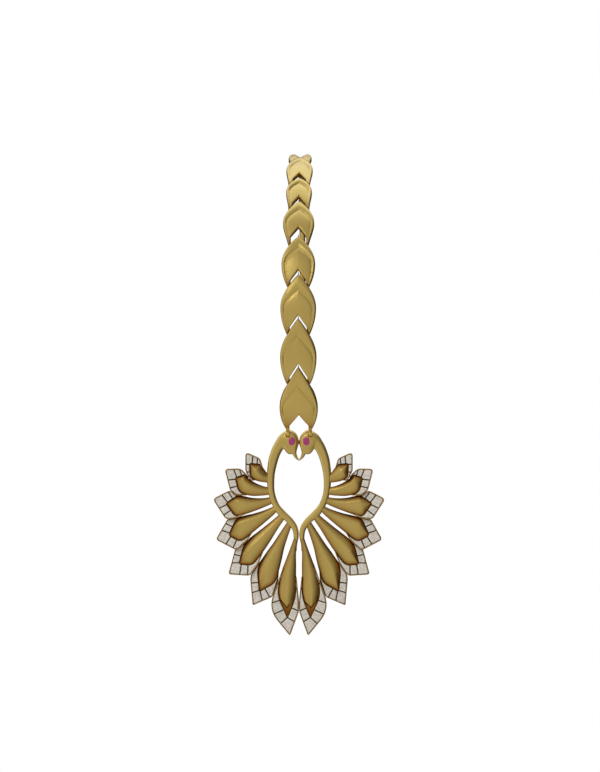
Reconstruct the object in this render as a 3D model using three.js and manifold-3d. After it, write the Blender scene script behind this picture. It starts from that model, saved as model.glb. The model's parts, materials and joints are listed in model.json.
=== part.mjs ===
// Ear climber: a curved strap of hinged leaf links that follows the outer edge of an ear,
// with a pendant of two facing birds whose feathers end in bands of white stones.
//
// Millimetres, +Z up, front towards -Y. The origin is the inner face of the strap's top,
// where it rests on the ear. The strap is part of a circle in the YZ plane.

import * as THREE from 'three';
import { mergeVertices } from 'three/addons/utils/BufferGeometryUtils.js';
import Module from 'manifold-3d';

const wasm = await Module();
wasm.setup();

// ---------------------------------------------------------------- sizes

// Radii of the strap, measured from the centre of its circle.
const REST_RADIUS = 32.05;
const KNUCKLE_RADIUS = 0.6;
const KNUCKLE_AT = REST_RADIUS + KNUCKLE_RADIUS;
const TONGUE_TOP = 33.27;
const PLATE_BACK = 33.15;
const RELIEF_TOP = 33.55;
const PLATE_FRONT = 33.77;
const FACE_RADIUS = 34.15;
const RING_SEGMENTS = 48;

const PIN_RADIUS = 0.2;
const BORE_RADIUS = 0.34;
const GAP = 0.25;
const BORDER_WIDTH = 0.85;

// Behind the links, in degrees around the circle: how far a tongue reaches above its
// hinge, the extra room a tongue needs, the room around a knuckle and half of its web.
const TONGUE_DEG = 3.3;
const TONGUE_ROOM_DEG = 2.5;
const KNUCKLE_ROOM_DEG = 1.6;
const WEB_HALF_DEG = 0.6;
const TONGUE_BACK = 32.4;
const TONGUE_MIN_WIDTH = 0.5;
const SHORT_OVERLAP = 0.1;

// The leaf links, bottom first. Angles are degrees around the strap's circle, 0 straight
// ahead and positive below that. tip, wide, notch and end are where the leaf starts, is
// widest, splits into two legs and stops. hinge is the pin behind its upper end. half is
// the half width at its widest, leg the half width at its end, barrel the half length of
// its middle knuckle, point the sharpness of the tip and dome how far the raised middle
// starts from the tip. vee is the share of the notch's length over which it widens, and
// ogee how much the legs straighten at their ends.
const LINKS = [
  {
    tip: 20.2, hinge: 26.9, wide: 37.3, notch: 39.8, end: 47.4,
    half: 4.0, leg: 2.75, barrel: 1.45, point: 1.0, dome: 7.4, vee: 0.75, ogee: 0,
  },
  {
    tip: 2.7, hinge: 8.5, wide: 16.8, notch: 19.2, end: 27.5,
    half: 3.78, leg: 2.35, barrel: 1.3, point: 0.95, dome: 6.4, vee: 0.64, ogee: 0,
  },
  {
    tip: -12.9, hinge: -8.4, wide: -0.9, notch: 1.0, end: 9.1,
    half: 3.7, leg: 2.25, barrel: 1.1, point: 0.9, dome: 5.7, vee: 0.6, ogee: 0,
  },
  {
    tip: -27.3, hinge: -24.4, wide: -16.8, notch: -15.3, end: -7.8,
    half: 3.5, leg: 2.1, barrel: 0.8, point: 0.8, dome: 4.7, vee: 0.62, ogee: 0,
  },
  {
    tip: -43.0, hinge: -39.9, wide: -33.1, notch: -31.4, end: -23.8,
    half: 3.27, leg: 2.1, barrel: 0.8, point: 0.8, dome: 4.6, vee: 0.52, ogee: 0.6,
  },
  {
    tip: -56.4, hinge: -52.2, wide: -48.4, notch: -46.1, end: -39.4,
    half: 2.72, leg: 2.2, barrel: 0.85, point: 0.72, dome: 3.4, vee: 0.44, ogee: 1,
  },
  {
    tip: -77.0, hinge: -70.5, wide: -63.4, notch: -59.9, end: -51.7,
    half: 2.8, leg: 2.25, barrel: 0.9, point: 0.88, dome: 4.6, vee: 0.44, ogee: 1,
  },
  {
    tip: -97.0, hinge: -92.0, wide: -78.2, notch: -76.4, end: -69.9,
    half: 2.46, leg: 2.15, barrel: 0.9, point: 0.7, dome: 4.6, vee: 0.5, ogee: 1,
  },
];

// The hidden hook behind the ear.
const HOOK_WIRE_RADIUS = 0.65;
const HOOK_FORK_INNER = 32.15;
const HOOK_FORK_OUTER = 33.15;
const HOOK_WIRE_SINK_DEG = 0.8;
const HOOK_POINTS = 12;
const HOOK_FORK_END = -99.6;
const HOOK_BAR_START = -98.0;
const HOOK_END = -176;
const HOOK_BALL_RADIUS = 1.0;
const HOOK_FORK_HALF = 1.95;

// The pendant's own frame: x outwards from its middle, y up from the top of the heads,
// z towards the viewer from its middle plane. SWING is the hinge axis. The slot's upper
// half is wider, for the stem.
// SWING_DEPTH is how far the axis lies in front of the middle plane, so that the
// pendant's weight hangs straight below it.
const SWING_BELOW_TOP = 0.85;
const SWING_DEPTH = 0.1;
const SWING_Y = -22.2;
const SWING_Z = -57.78;
const SWING_BARREL_RADIUS = 0.52;
const SWING_LEG_X = 2.36;
const SWING_LEG_HALF = 0.42;
const SWING_STEM_HALF = 0.3;
const SWING_STEM_BACK = 33.4;
const SWING_DEG = 49.3;
const SWING_SLOT_HALF = 0.6;
const SWING_SLOT_LOW = 0.8;
const SWING_SLOT_HIGH = 1.0;
const SWING_LUG_WIDTH = 0.4;
const SWING_LUG_RADIUS = 0.55;

const BIRD_DEPTH = 1.2;
const BIRD_BEVEL = 0.28;
const PLATE_THICKNESS = 0.6;
const PETAL_HEIGHT = 0.95;
const PETAL_SINK = 0.1;
const STONE_HEIGHT = 0.5;
const STONE_LIFT = 0.15;
const STONE_GAP = 0.15;
const SEAT_LIFT = 0.01;
const RIM_WIDTH = 0.2;
const EYE_GAP = 0.15;

// Solder between the two birds: at the brows and behind the innermost feathers.
const BROW = { width: 1.0, height: 0.7, depth: 0.7, y: -2.6 };
const BACK_BAR = { width: 1.6, height: 1.2, depth: 0.5, y: -36.8 };

const HEAD = { x: 2.25, y: -2.5, width: 1.8, height: 2.25, depth: 1.0 };
const EYE = { x: 1.54, y: -2.42, width: 0.75, height: 0.96, depth: 0.5, z: 0.74 };

// One side of the bird, as stretches of its outline that curves pass through.
const NECK_OUTSIDE = [
  [2.1, 0], [4.0, -1.1], [5.5, -3.5], [6.5, -7.0], [6.7, -10.6], [6.4, -13.4],
  [5.3, -16.3], [3.2, -18.7], [1.8, -20.3], [1.2, -21.9], [1.4, -24.2],
];
const NECK_INSIDE = [
  [0.3, -24.0], [0.08, -21.9], [0.55, -19.9], [2.5, -17.5], [4.2, -15.7],
  [5.0, -12.9], [5.15, -10.8], [4.9, -8.3], [4.2, -6.1], [3.15, -4.1],
];
const CHIN = [[2.55, -4.8], [1.9, -5.1], [1.4, -5.2]];
const BEAK = [[0.9, -5.8], [0.05, -6.45], [0.45, -5.4], [0.5, -4.4], [0.06, -3.05]];
const FOREHEAD = [[0.06, -2.05], [0.5, -0.95], [1.15, -0.2]];

// The feathers of one side, top first. upper and lower are the petal's sides from the neck
// to its corners, and tip is its tip. rounds tells how far its upper corner, tip and lower
// corner are rounded. plate is the end of the plate under it, from where it leaves the
// petal above to below, each corner with its rounding. level is the height of the plate's
// front, and roll how far the plate leans forward for each millimetre towards its lower
// side.
const FEATHERS = [
  {
    upper: [[6.1, -9.4], [6.6, -9.1], [7.2, -8.4], [8.0, -7.25]],
    tip: [10.4, -7.0],
    lower: [[6.0, -11.0], [7.4, -10.85], [8.8, -10.6], [10.2, -9.95]],
    rounds: [0.35, 0.4, 0.8],
    plate: [[7.55, -7.95, 0], [8.25, -5.9, 0.6], [11.3, -4.5, 0.9], [11.25, -8.6, 0.4], [10.15, -10.65, 0.3],
      [9.0, -10.55, 0]],
    level: 0.1, roll: 0.13,
  },
  {
    upper: [[5.9, -12.0], [7.0, -11.95], [8.6, -11.4], [10.0, -10.6], [11.4, -9.4]],
    tip: [13.4, -10.05],
    lower: [[5.8, -13.45], [8.0, -13.7], [10.0, -13.7], [11.6, -13.35], [12.7, -12.75]],
    rounds: [0.3, 0.4, 0.8],
    plate: [[10.5, -10.2, 0], [12.3, -8.0, 0.7], [15.8, -8.05, 0.85], [14.3, -12.6, 0.4], [13.1, -13.6, 0.3],
      [11.4, -13.4, 0]],
    level: 0, roll: 0.13,
  },
  {
    upper: [[5.3, -13.95], [7.0, -14.25], [8.6, -14.35], [10.2, -14.2], [12.75, -13.65]],
    tip: [15.4, -15.4],
    lower: [[5.2, -15.1], [8.0, -16.4], [10.0, -17.15], [13.4, -18.15]],
    rounds: [0.4, 0.5, 0.8],
    plate: [[12.0, -13.8, 0], [14.55, -12.6, 0.9], [18.25, -14.5, 0.9], [15.3, -18.8, 0.8], [13.1, -18.5, 0.4],
      [11.7, -17.65, 0]],
    level: 0, roll: 0.13,
  },
  {
    upper: [[4.5, -15.6], [5.9, -16.3], [7.6, -16.95], [9.6, -17.55], [13.1, -18.5]],
    tip: [14.8, -22.1],
    lower: [[4.1, -16.6], [5.45, -17.85], [9.25, -21.1], [12.35, -23.5]],
    rounds: [0.8, 0.7, 1.0],
    plate: [[10.9, -17.9, 0], [14.95, -18.5, 0.7], [17.6, -23.1, 0.7], [13.1, -25.25, 0.7], [10.3, -21.9, 0]],
    level: 0, roll: 0.13,
  },
  {
    upper: [[3.4, -17.1], [4.7, -18.2], [6.5, -19.7], [8.5, -21.3], [11.6, -24.1]],
    tip: [12.6, -28.2],
    lower: [[2.7, -18.2], [4.4, -20.7], [7.4, -25.4], [9.8, -28.4]],
    rounds: [1.2, 0.6, 1.0],
    plate: [[10.4, -23.0, 0], [13.5, -24.9, 0.7], [15.0, -30.4, 0.6], [10.2, -30.5, 0.7], [7.7, -25.8, 0]],
    level: 0, roll: 0.12,
  },
  {
    upper: [[2.2, -18.95], [3.65, -21.05], [5.6, -24.0], [7.0, -25.9], [8.8, -29.3]],
    tip: [8.35, -33.95],
    lower: [[1.45, -19.85], [2.3, -22.25], [3.1, -24.9], [4.2, -29.5], [5.25, -32.25]],
    rounds: [1.3, 0.35, 0.9],
    plate: [[7.3, -26.3, 0], [10.4, -30.3, 1.5], [9.85, -36.9, 0.4], [5.5, -34.9, 0.5], [4.2, -29.9, 0]],
    level: -0.1, roll: 0.05,
  },
  {
    upper: [[1.15, -22.85], [1.65, -24.25], [2.75, -27.2], [3.7, -29.8], [4.45, -34.9]],
    tip: [2.4, -39.4],
    lower: [[0.3, -23.3], [0.6, -25.5], [0.62, -31.0], [0.6, -33.2], [0.85, -35.6]],
    rounds: [1.4, 0, 1.2],
    plate: [[3.3, -28.8, 0], [6.7, -37.6, 2.6], [1.95, -43.15, 0.5], [0.04, -37.95, 0.4], [0.04, -35.6, 0.5],
      [0.5, -30.6, 0]],
    level: 0.55, roll: 0,
  },
];

// How far from the tip the crest of a petal stops, as a share of its length.
const CREST_STOP = 0.18;

// Share of the petal's height and of the way to its crest, for each layer of the dome.
const DOME_LAYERS = [
  { height: 0, inset: 0 },
  { height: 0.5, inset: 0.13 },
  { height: 0.85, inset: 0.46 },
  { height: 1, inset: 0.88 },
];

const GOLD = { color: 0xb0954a, roughness: 0.3, metalness: 1 };
const WHITE_STONE = { color: 0xc9c3bd, roughness: 0.15, metalness: 0 };
const RUBY = { color: 0xa82f6c, roughness: 0.1, metalness: 0 };

// ---------------------------------------------------------------- solids

const radians = THREE.MathUtils.degToRad;
const WELD = 5e-3;
const SLIVER = 0.05;

// A three.js geometry as a manifold solid, with vertices closer than weld joined.
function solid(geometry, weld = 1e-5) {
  geometry.deleteAttribute('normal');
  geometry.deleteAttribute('uv');
  const merged = mergeVertices(geometry, weld);
  return new wasm.Manifold(new wasm.Mesh({
    numProp: 3,
    vertProperties: new Float32Array(merged.attributes.position.array),
    triVerts: new Uint32Array(merged.index.array),
  }));
}

function union(bodies) {
  return bodies.reduce((sum, body) => sum.add(body));
}

function largestPiece(body) {
  return body.decompose().reduce((best, piece) => (piece.volume() > best.volume() ? piece : best));
}

// The one body of a solid, with slivers that cuts leave dropped. More than a sliver stops it.
function onePiece(name, body) {
  const best = largestPiece(body);
  if (body.volume() - best.volume() > SLIVER) {
    throw new Error(`${name} is in more than one piece`);
  }
  return best;
}

function geometryOf(body) {
  const data = body.getMesh();
  const geometry = new THREE.BufferGeometry();
  geometry.setAttribute('position', new THREE.BufferAttribute(data.vertProperties, 3));
  geometry.setIndex(new THREE.BufferAttribute(data.triVerts, 1));
  return geometry;
}

// A named mesh made from a manifold solid, with its closest vertices welded.
function namedMesh(name, body, finish) {
  const welded = onePiece(name, solid(geometryOf(body), WELD));
  const geometry = geometryOf(welded);
  geometry.computeVertexNormals();
  const mesh = new THREE.Mesh(geometry, new THREE.MeshStandardMaterial(finish));
  mesh.name = name;
  return mesh;
}

// An outline pushed outwards by a distance, or inwards when it is negative.
function offsetOutline(points, distance) {
  const ring = THREE.ShapeUtils.isClockWise(points) ? [...points].reverse() : points;
  return ring.map((point, i) => {
    const before = ring[(i + ring.length - 1) % ring.length];
    const after = ring[(i + 1) % ring.length];
    const into = new THREE.Vector2().subVectors(point, before).normalize();
    const out = new THREE.Vector2().subVectors(after, point).normalize();
    const normal = new THREE.Vector2(into.y + out.y, -into.x - out.x).normalize();
    const stretch = 1 / Math.max(0.5, normal.x * out.y - normal.y * out.x);
    return point.clone().addScaledVector(normal, distance * stretch);
  });
}

// A straight prism on an outline, from one height to another along z.
function prismGeometry(points, low, high, steps = 1) {
  const shape = new THREE.Shape(points);
  const geometry = new THREE.ExtrudeGeometry(shape, { depth: high - low, steps, bevelEnabled: false });
  return geometry.translate(0, 0, low);
}

// A round bar along x.
function barX(x0, x1, y, z, radius, sides = 8) {
  const geometry = new THREE.CylinderGeometry(radius, radius, x1 - x0, sides);
  return geometry.rotateZ(Math.PI / 2).translate((x0 + x1) / 2, y, z);
}

// ---------------------------------------------------------------- strap frame

// Direction of an angle on the strap's circle: y and z for a radius.
function onCircle(degrees, radius) {
  return { y: -radius * Math.cos(radians(degrees)), z: -radius * Math.sin(radians(degrees)) };
}

// A ring around the x axis from a closed profile of [radius, x] points.
function ring(profile) {
  const points = profile.map(([radius, x]) => new THREE.Vector2(radius, x));
  points.push(points[0].clone());
  return solid(new THREE.LatheGeometry(points, RING_SEGMENTS).rotateZ(-Math.PI / 2));
}

function bandRing(inner, outer, half) {
  return ring([[inner, -half], [outer, -half], [outer, half], [inner, half]]);
}

// A prism that stands on the strap at an angle: its outline is given as [x, degrees].
function strapPrism(outline, middle, grow = 0) {
  const flat = outline.map(([x, degrees]) => (
    new THREE.Vector2(x, FACE_RADIUS * Math.sin(radians(middle - degrees)))
  ));
  const points = grow === 0 ? flat : offsetOutline(flat, grow);
  const geometry = prismGeometry(points, REST_RADIUS * 0.9, FACE_RADIUS + 2);
  return solid(geometry.rotateX(Math.PI / 2 + radians(middle)));
}

function strapBlock(x0, x1, from, to) {
  return strapPrism([[x0, from], [x1, from], [x1, to], [x0, to]], (from + to) / 2);
}

function strapBar(x0, x1, degrees, radius) {
  const at = onCircle(degrees, KNUCKLE_AT);
  return solid(barX(x0, x1, at.y, at.z, radius));
}

// ---------------------------------------------------------------- leaf links

const TIP_STEPS = [0.05, 0.2, 0.45, 0.72, 1];
const LEG_STEPS = [0.5, 1];
const CROWN_FLAT = 0.35;
const OVERLAP = 0.06;
const NOTCH_HALF = 0.5;

// Half width of a leaf at an angle: a sine arch from the tip, then a parabola to the legs,
// whose end the ogee straightens.
function leafHalf(link, degrees) {
  if (degrees <= link.wide) {
    const t = Math.max(0, (degrees - link.tip) / (link.wide - link.tip));
    return link.half * Math.sin(Math.PI / 2 * t) ** link.point;
  }
  const t = (degrees - link.wide) / (link.end - link.wide);
  return link.half - (link.half - link.leg) * t * t * (1 + 2 * link.ogee * (1 - t));
}

function notchHalf(link, degrees) {
  const t = (degrees - link.notch) / (link.end - link.notch);
  return NOTCH_HALF * link.half * Math.min(1, t / link.vee);
}

const between = (from, to, t) => from + (to - from) * t;

// The outline of a leaf as [x, degrees], tip first and down its right side.
function leafOutline(link) {
  const side = [
    ...TIP_STEPS.map((t) => between(link.tip, link.wide, t)),
    ...LEG_STEPS.map((t) => between(link.wide, link.end, t)),
  ].map((degrees) => [leafHalf(link, degrees), degrees]);
  const notch = [1, link.vee].map((t) => between(link.notch, link.end, t))
    .map((degrees) => [notchHalf(link, degrees), degrees]);
  const right = [...side, ...notch];
  const left = right.map(([x, degrees]) => [-x, degrees]).reverse();
  return [[0, link.tip], ...right, [0, link.notch], ...left];
}

// The raised middle: the leaf's outline drawn in by the border, and further at the tip.
function domeOutline(link) {
  const inner = {
    ...link,
    tip: link.tip + link.dome,
    half: link.half - BORDER_WIDTH,
    leg: link.leg - BORDER_WIDTH / 2,
  };
  const side = [
    ...TIP_STEPS.map((t) => between(inner.tip, inner.wide, t)),
    ...LEG_STEPS.map((t) => between(inner.wide, inner.end, t)),
  ].map((degrees) => [leafHalf(inner, degrees), degrees]);
  const left = side.map(([x, degrees]) => [-x, degrees]).reverse();
  return [[0, inner.tip], ...side, ...left];
}

// The place of the upper neighbour's two tongues and lugs, on both sides of the middle.
function lugSpans(link, upperLeg) {
  const inside = link.barrel + GAP;
  return [[-upperLeg, -inside], [inside, upperLeg]];
}

// The leaf itself: a thin plate, a raised border and a domed middle.
function leafPlate(link) {
  const middle = (link.tip + link.end) / 2;
  const leaf = strapPrism(leafOutline(link), middle);
  const dome = strapPrism(domeOutline(link), middle);
  const half = link.half - BORDER_WIDTH;
  const flat = half * CROWN_FLAT;
  const low = PLATE_FRONT - SHORT_OVERLAP;
  const crown = ring([
    [low, -half], [PLATE_FRONT, -half], [FACE_RADIUS, -flat],
    [FACE_RADIUS, flat], [PLATE_FRONT, half], [low, half],
  ]);
  const plate = bandRing(PLATE_BACK, PLATE_FRONT, link.half + 1).intersect(leaf);
  const border = bandRing(low, FACE_RADIUS, link.half + 1).intersect(leaf.subtract(dome));
  const overDome = strapPrism(domeOutline(link), middle, OVERLAP);
  return union([plate, border, crown.intersect(leaf.intersect(overDome))]);
}

// The lower end of a link reaches under its neighbour: two tongues, each with a lug.
function tongues(leg, inside, notch, hinge) {
  const band = bandRing(TONGUE_BACK, TONGUE_TOP, leg + 1);
  return [-1, 1].flatMap((side) => {
    const span = [side * Math.min(notch, leg - TONGUE_MIN_WIDTH), side * leg].sort((a, b) => a - b);
    const lug = [side * inside, side * leg].sort((a, b) => a - b);
    const tongue = band.intersect(strapBlock(span[0], span[1], hinge - TONGUE_DEG, hinge));
    return [tongue, strapBar(lug[0], lug[1], hinge, KNUCKLE_RADIUS)];
  });
}

// What the tongues and lugs of the upper neighbour need behind a link.
function tongueRoom(link, upperLeg) {
  const band = bandRing(REST_RADIUS - 1, RELIEF_TOP, upperLeg + 2);
  const from = link.hinge - TONGUE_DEG - TONGUE_ROOM_DEG;
  return union(lugSpans(link, upperLeg).map(([x0, x1]) => (
    band.intersect(strapBlock(x0 - GAP, x1 + GAP, from, link.hinge + KNUCKLE_ROOM_DEG))
  )));
}

// The middle knuckle behind the upper end of a link, with a web up to the plate.
function middleKnuckle(link) {
  const { hinge, barrel } = link;
  const web = bandRing(KNUCKLE_AT, PLATE_BACK + SHORT_OVERLAP, barrel + 1)
    .intersect(strapBlock(-barrel, barrel, hinge - WEB_HALF_DEG, hinge + WEB_HALF_DEG));
  return strapBar(-barrel, barrel, hinge, KNUCKLE_RADIUS).add(web);
}

function bore(degrees, half) {
  return strapBar(-half, half, degrees, BORE_RADIUS);
}

// One link. lower is the neighbour that it carries and upper the one that carries it.
function leafLink(index) {
  const link = LINKS[index];
  const lower = LINKS[index - 1];
  const upper = LINKS[index + 1];
  const upperLeg = upper ? upper.leg : HOOK_FORK_HALF;
  let body = leafPlate(link);
  if (lower) {
    const below = strapPrism(leafOutline(lower), (lower.tip + lower.end) / 2, GAP);
    const front = bandRing(PLATE_BACK - OVERLAP, FACE_RADIUS + 1, link.half + 1);
    body = body.subtract(front.intersect(below));
    body = body.subtract(tongueFreeSpace(lower));
    const notch = NOTCH_HALF * link.half;
    body = union([body, ...tongues(link.leg, lower.barrel + GAP, notch, lower.hinge)]);
    body = body.subtract(bore(lower.hinge, link.half));
  }
  body = body.subtract(tongueRoom(link, upperLeg));
  body = body.add(middleKnuckle(link)).subtract(bore(link.hinge, link.half));
  return lower ? body : withSwingLegs(body);
}

// The space that a carried link's own middle knuckle takes, kept free of the legs.
function tongueFreeSpace(lower) {
  const half = lower.barrel + GAP;
  const band = bandRing(REST_RADIUS - 1, RELIEF_TOP, half + 1);
  const from = lower.hinge - KNUCKLE_ROOM_DEG;
  return band.intersect(strapBlock(-half, half, from, lower.hinge + KNUCKLE_ROOM_DEG));
}

// The lowest link's legs end in the two barrels that carry the pendant.
function withSwingLegs(body) {
  const y = SWING_Y;
  const z = SWING_Z + REST_RADIUS;
  const band = bandRing(SWING_STEM_BACK, FACE_RADIUS, LINKS[0].half);
  const legs = [-1, 1].flatMap((side) => {
    const x = side * SWING_LEG_X;
    const barrel = barX(x - SWING_LEG_HALF, x + SWING_LEG_HALF, y, z, SWING_BARREL_RADIUS);
    const stem = strapBlock(x - SWING_STEM_HALF, x + SWING_STEM_HALF, LINKS[0].end - 1, SWING_DEG);
    return [solid(barrel), band.intersect(stem)];
  });
  const hole = solid(barX(-LINKS[0].half, LINKS[0].half, y, z, BORE_RADIUS));
  return union([body, ...legs]).subtract(hole);
}

function linkPin(index) {
  const link = LINKS[index];
  const upper = LINKS[index + 1];
  const half = upper ? upper.leg : HOOK_FORK_HALF;
  const at = onCircle(link.hinge, KNUCKLE_AT);
  return solid(barX(-half, half, at.y, at.z, PIN_RADIUS));
}

// ---------------------------------------------------------------- ear hook

// The plain wire that goes on around the circle and down behind the ear.
function earHook() {
  const last = LINKS[LINKS.length - 1];
  const inside = last.barrel + GAP;
  const band = bandRing(HOOK_FORK_INNER, HOOK_FORK_OUTER, HOOK_FORK_HALF + 1);
  const prongs = [-1, 1].map((side) => {
    const span = [side * inside, side * HOOK_FORK_HALF].sort((a, b) => a - b);
    const prong = band.intersect(strapBlock(span[0], span[1], HOOK_FORK_END, last.hinge));
    return prong.add(strapBar(span[0], span[1], last.hinge, KNUCKLE_RADIUS));
  });
  const across = strapBlock(-HOOK_FORK_HALF, HOOK_FORK_HALF, HOOK_FORK_END, HOOK_BAR_START);
  const bar = band.intersect(across);
  const middle = REST_RADIUS + HOOK_WIRE_RADIUS;
  const start = HOOK_BAR_START - HOOK_WIRE_SINK_DEG;
  const path = new THREE.CatmullRomCurve3(Array.from({ length: HOOK_POINTS + 1 }, (_, i) => {
    const at = onCircle(between(start, HOOK_END, i / HOOK_POINTS), middle);
    return new THREE.Vector3(0, at.y, at.z);
  }));
  const section = new THREE.Shape().absarc(0, 0, HOOK_WIRE_RADIUS, 0, Math.PI * 2);
  const wire = solid(new THREE.ExtrudeGeometry(section, { curveSegments: 4, steps: 18, extrudePath: path }));
  const end = onCircle(HOOK_END, middle);
  const ball = solid(new THREE.SphereGeometry(HOOK_BALL_RADIUS, 10, 6).translate(0, end.y, end.z));
  return union([...prongs, bar, wire, ball]).subtract(bore(last.hinge, HOOK_FORK_HALF + 1));
}

// ---------------------------------------------------------------- pendant

const vector = ([x, y], side) => new THREE.Vector2(side * x, y);

// One bird: head, beak and neck from one outline with rounded edges, and a fuller head.
function bird(side) {
  const shape = new THREE.Shape();
  const through = (points) => points.map((point) => vector(point, side));
  shape.moveTo(side * NECK_OUTSIDE[0][0], NECK_OUTSIDE[0][1]);
  shape.splineThru(through(NECK_OUTSIDE.slice(1)));
  shape.lineTo(side * NECK_INSIDE[0][0], NECK_INSIDE[0][1]);
  shape.splineThru(through(NECK_INSIDE.slice(1)));
  shape.splineThru(through(CHIN));
  through([...BEAK, ...FOREHEAD]).forEach((point) => shape.lineTo(point.x, point.y));
  const geometry = new THREE.ExtrudeGeometry(shape, {
    depth: BIRD_DEPTH - 2 * BIRD_BEVEL, curveSegments: 1, bevelThickness: BIRD_BEVEL,
    bevelSize: BIRD_BEVEL, bevelOffset: -BIRD_BEVEL, bevelSegments: 1,
  });
  const flat = solid(geometry.translate(0, 0, BIRD_BEVEL - BIRD_DEPTH / 2));
  const head = new THREE.SphereGeometry(1, 12, 8).scale(HEAD.width, HEAD.height, HEAD.depth);
  return flat.add(solid(head.translate(side * HEAD.x, HEAD.y, 0)));
}

// Cuts and lugs around the swing axis, at the top of one head.
function withSwingLugs(head, side) {
  const x = side * SWING_LEG_X;
  const y = -SWING_BELOW_TOP;
  const lugs = [-1, 1].map((end) => {
    const near = x + end * SWING_SLOT_HALF;
    const far = x + end * (SWING_SLOT_HALF + SWING_LUG_WIDTH);
    return solid(barX(Math.min(near, far), Math.max(near, far), y, SWING_DEPTH, SWING_LUG_RADIUS));
  });
  const low = barX(x - SWING_SLOT_HALF, x + SWING_SLOT_HALF, y, SWING_DEPTH, SWING_SLOT_LOW, 12);
  const high = new THREE.BoxGeometry(2 * SWING_SLOT_HALF, 2 * SWING_SLOT_HIGH, 4);
  high.translate(x, y + SWING_SLOT_HIGH, SWING_DEPTH);
  const slot = solid(low).add(solid(high));
  const reach = SWING_SLOT_HALF + 2 * SWING_LUG_WIDTH;
  const pinHole = solid(barX(x - reach, x + reach, y, SWING_DEPTH, BORE_RADIUS));
  return union([head.subtract(slot), ...lugs.map((lug) => lug.subtract(slot))]).subtract(pinHole);
}

// A closed outline through corners, each rounded by a share of its shorter side.
function roundedOutline(corners, rounds) {
  const points = [];
  corners.forEach((corner, i) => {
    const before = corners[(i + corners.length - 1) % corners.length];
    const after = corners[(i + 1) % corners.length];
    const reach = Math.min(rounds[i], 0.45 * corner.distanceTo(before), 0.45 * corner.distanceTo(after));
    if (reach === 0) {
      points.push(corner);
      return;
    }
    const start = corner.clone().addScaledVector(before.clone().sub(corner).normalize(), reach);
    const stop = corner.clone().addScaledVector(after.clone().sub(corner).normalize(), reach);
    points.push(...new THREE.QuadraticBezierCurve(start, corner, stop).getPoints(2));
  });
  return points;
}

// The lines of a feather in the pendant's frame, on one side.
function featherLines(feather, side) {
  const upper = feather.upper.map((point) => vector(point, side));
  const lower = feather.lower.map((point) => vector(point, side));
  const end = feather.plate.map((point) => vector(point, side));
  const rounds = feather.plate.map((point) => point[2]);
  const tip = vector(feather.tip, side);
  const root = upper[0].clone().add(lower[0]).multiplyScalar(0.5);
  const along = end[2].clone().sub(root).normalize();
  const down = new THREE.Vector2(along.y, -along.x).multiplyScalar(side);
  return { root, upper, lower, tip, down, end, rounds, petalRounds: feather.rounds };
}

function petalOutline(f) {
  const corners = [...f.upper, f.tip, ...[...f.lower].reverse()];
  const rounds = corners.map(() => 0);
  rounds.splice(f.upper.length - 1, 3, ...f.petalRounds);
  return roundedOutline(corners, rounds);
}

// The plate follows the petal's sides from the root, then spreads to its own end.
function plateOutline(f) {
  const before = (line, merge) => (
    line.filter((point) => point.distanceTo(f.root) < merge.distanceTo(f.root) - 0.3)
  );
  const upper = before(f.upper, f.end[0]);
  const lower = before(f.lower, f.end[f.end.length - 1]).reverse();
  const still = (line) => line.map(() => 0);
  return roundedOutline([...upper, ...f.end, ...lower], [...still(upper), ...f.rounds, ...still(lower)]);
}

// Lays a flat solid's geometry on the feather's plane: raised to its level and rolled.
function onFeather(geometry, feather, f) {
  const position = geometry.attributes.position;
  for (let i = 0; i < position.count; i += 1) {
    const across = (position.getX(i) - f.root.x) * f.down.x + (position.getY(i) - f.root.y) * f.down.y;
    position.setZ(i, position.getZ(i) + feather.level + feather.roll * across);
  }
  return geometry;
}

function nearestOnCrest(point, from, to) {
  const line = new THREE.Line3(new THREE.Vector3(from.x, from.y), new THREE.Vector3(to.x, to.y));
  return line.closestPointToPoint(new THREE.Vector3(point.x, point.y), true, new THREE.Vector3());
}

// A petal: its outline in layers that close in on the crest line as they rise.
function petal(feather, f) {
  const steps = DOME_LAYERS.length - 1;
  const geometry = prismGeometry(petalOutline(f), 0, steps, steps);
  const position = geometry.attributes.position;
  const crestEnd = f.tip.clone().lerp(f.root, CREST_STOP);
  for (let i = 0; i < position.count; i += 1) {
    const layer = DOME_LAYERS[Math.round(position.getZ(i))];
    const point = new THREE.Vector2(position.getX(i), position.getY(i));
    const crest = nearestOnCrest(point, f.root, crestEnd);
    position.setXYZ(
      i,
      between(point.x, crest.x, layer.inset),
      between(point.y, crest.y, layer.inset),
      between(-PETAL_SINK, PETAL_HEIGHT, layer.height),
    );
  }
  return solid(onFeather(geometry, feather, f));
}

function plate(feather, f) {
  return solid(onFeather(prismGeometry(plateOutline(f), -PLATE_THICKNESS, 0), feather, f));
}

// The area of the stone band, from its seat to a height, grown by a margin.
function stoneArea(feather, f, low, high, margin) {
  const end = offsetOutline(roundedOutline(f.end, f.rounds), margin - RIM_WIDTH);
  const inside = offsetOutline(petalOutline(f), STONE_GAP - margin);
  const outer = solid(onFeather(prismGeometry(end, low, high), feather, f));
  const inner = solid(onFeather(prismGeometry(inside, low - 1, high + 1), feather, f));
  return outer.subtract(inner);
}

// Each feather of one side with its lines worked out.
function feathersOf(side) {
  return FEATHERS.map((feather) => ({ feather, f: featherLines(feather, side) }));
}

// The feathers that lie in front of the one at an index.
function inFront(index) {
  const last = FEATHERS.length - 1;
  const list = index > 0 && index < last ? [index - 1] : [];
  return index === last - 1 ? [...list, last] : list;
}

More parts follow.
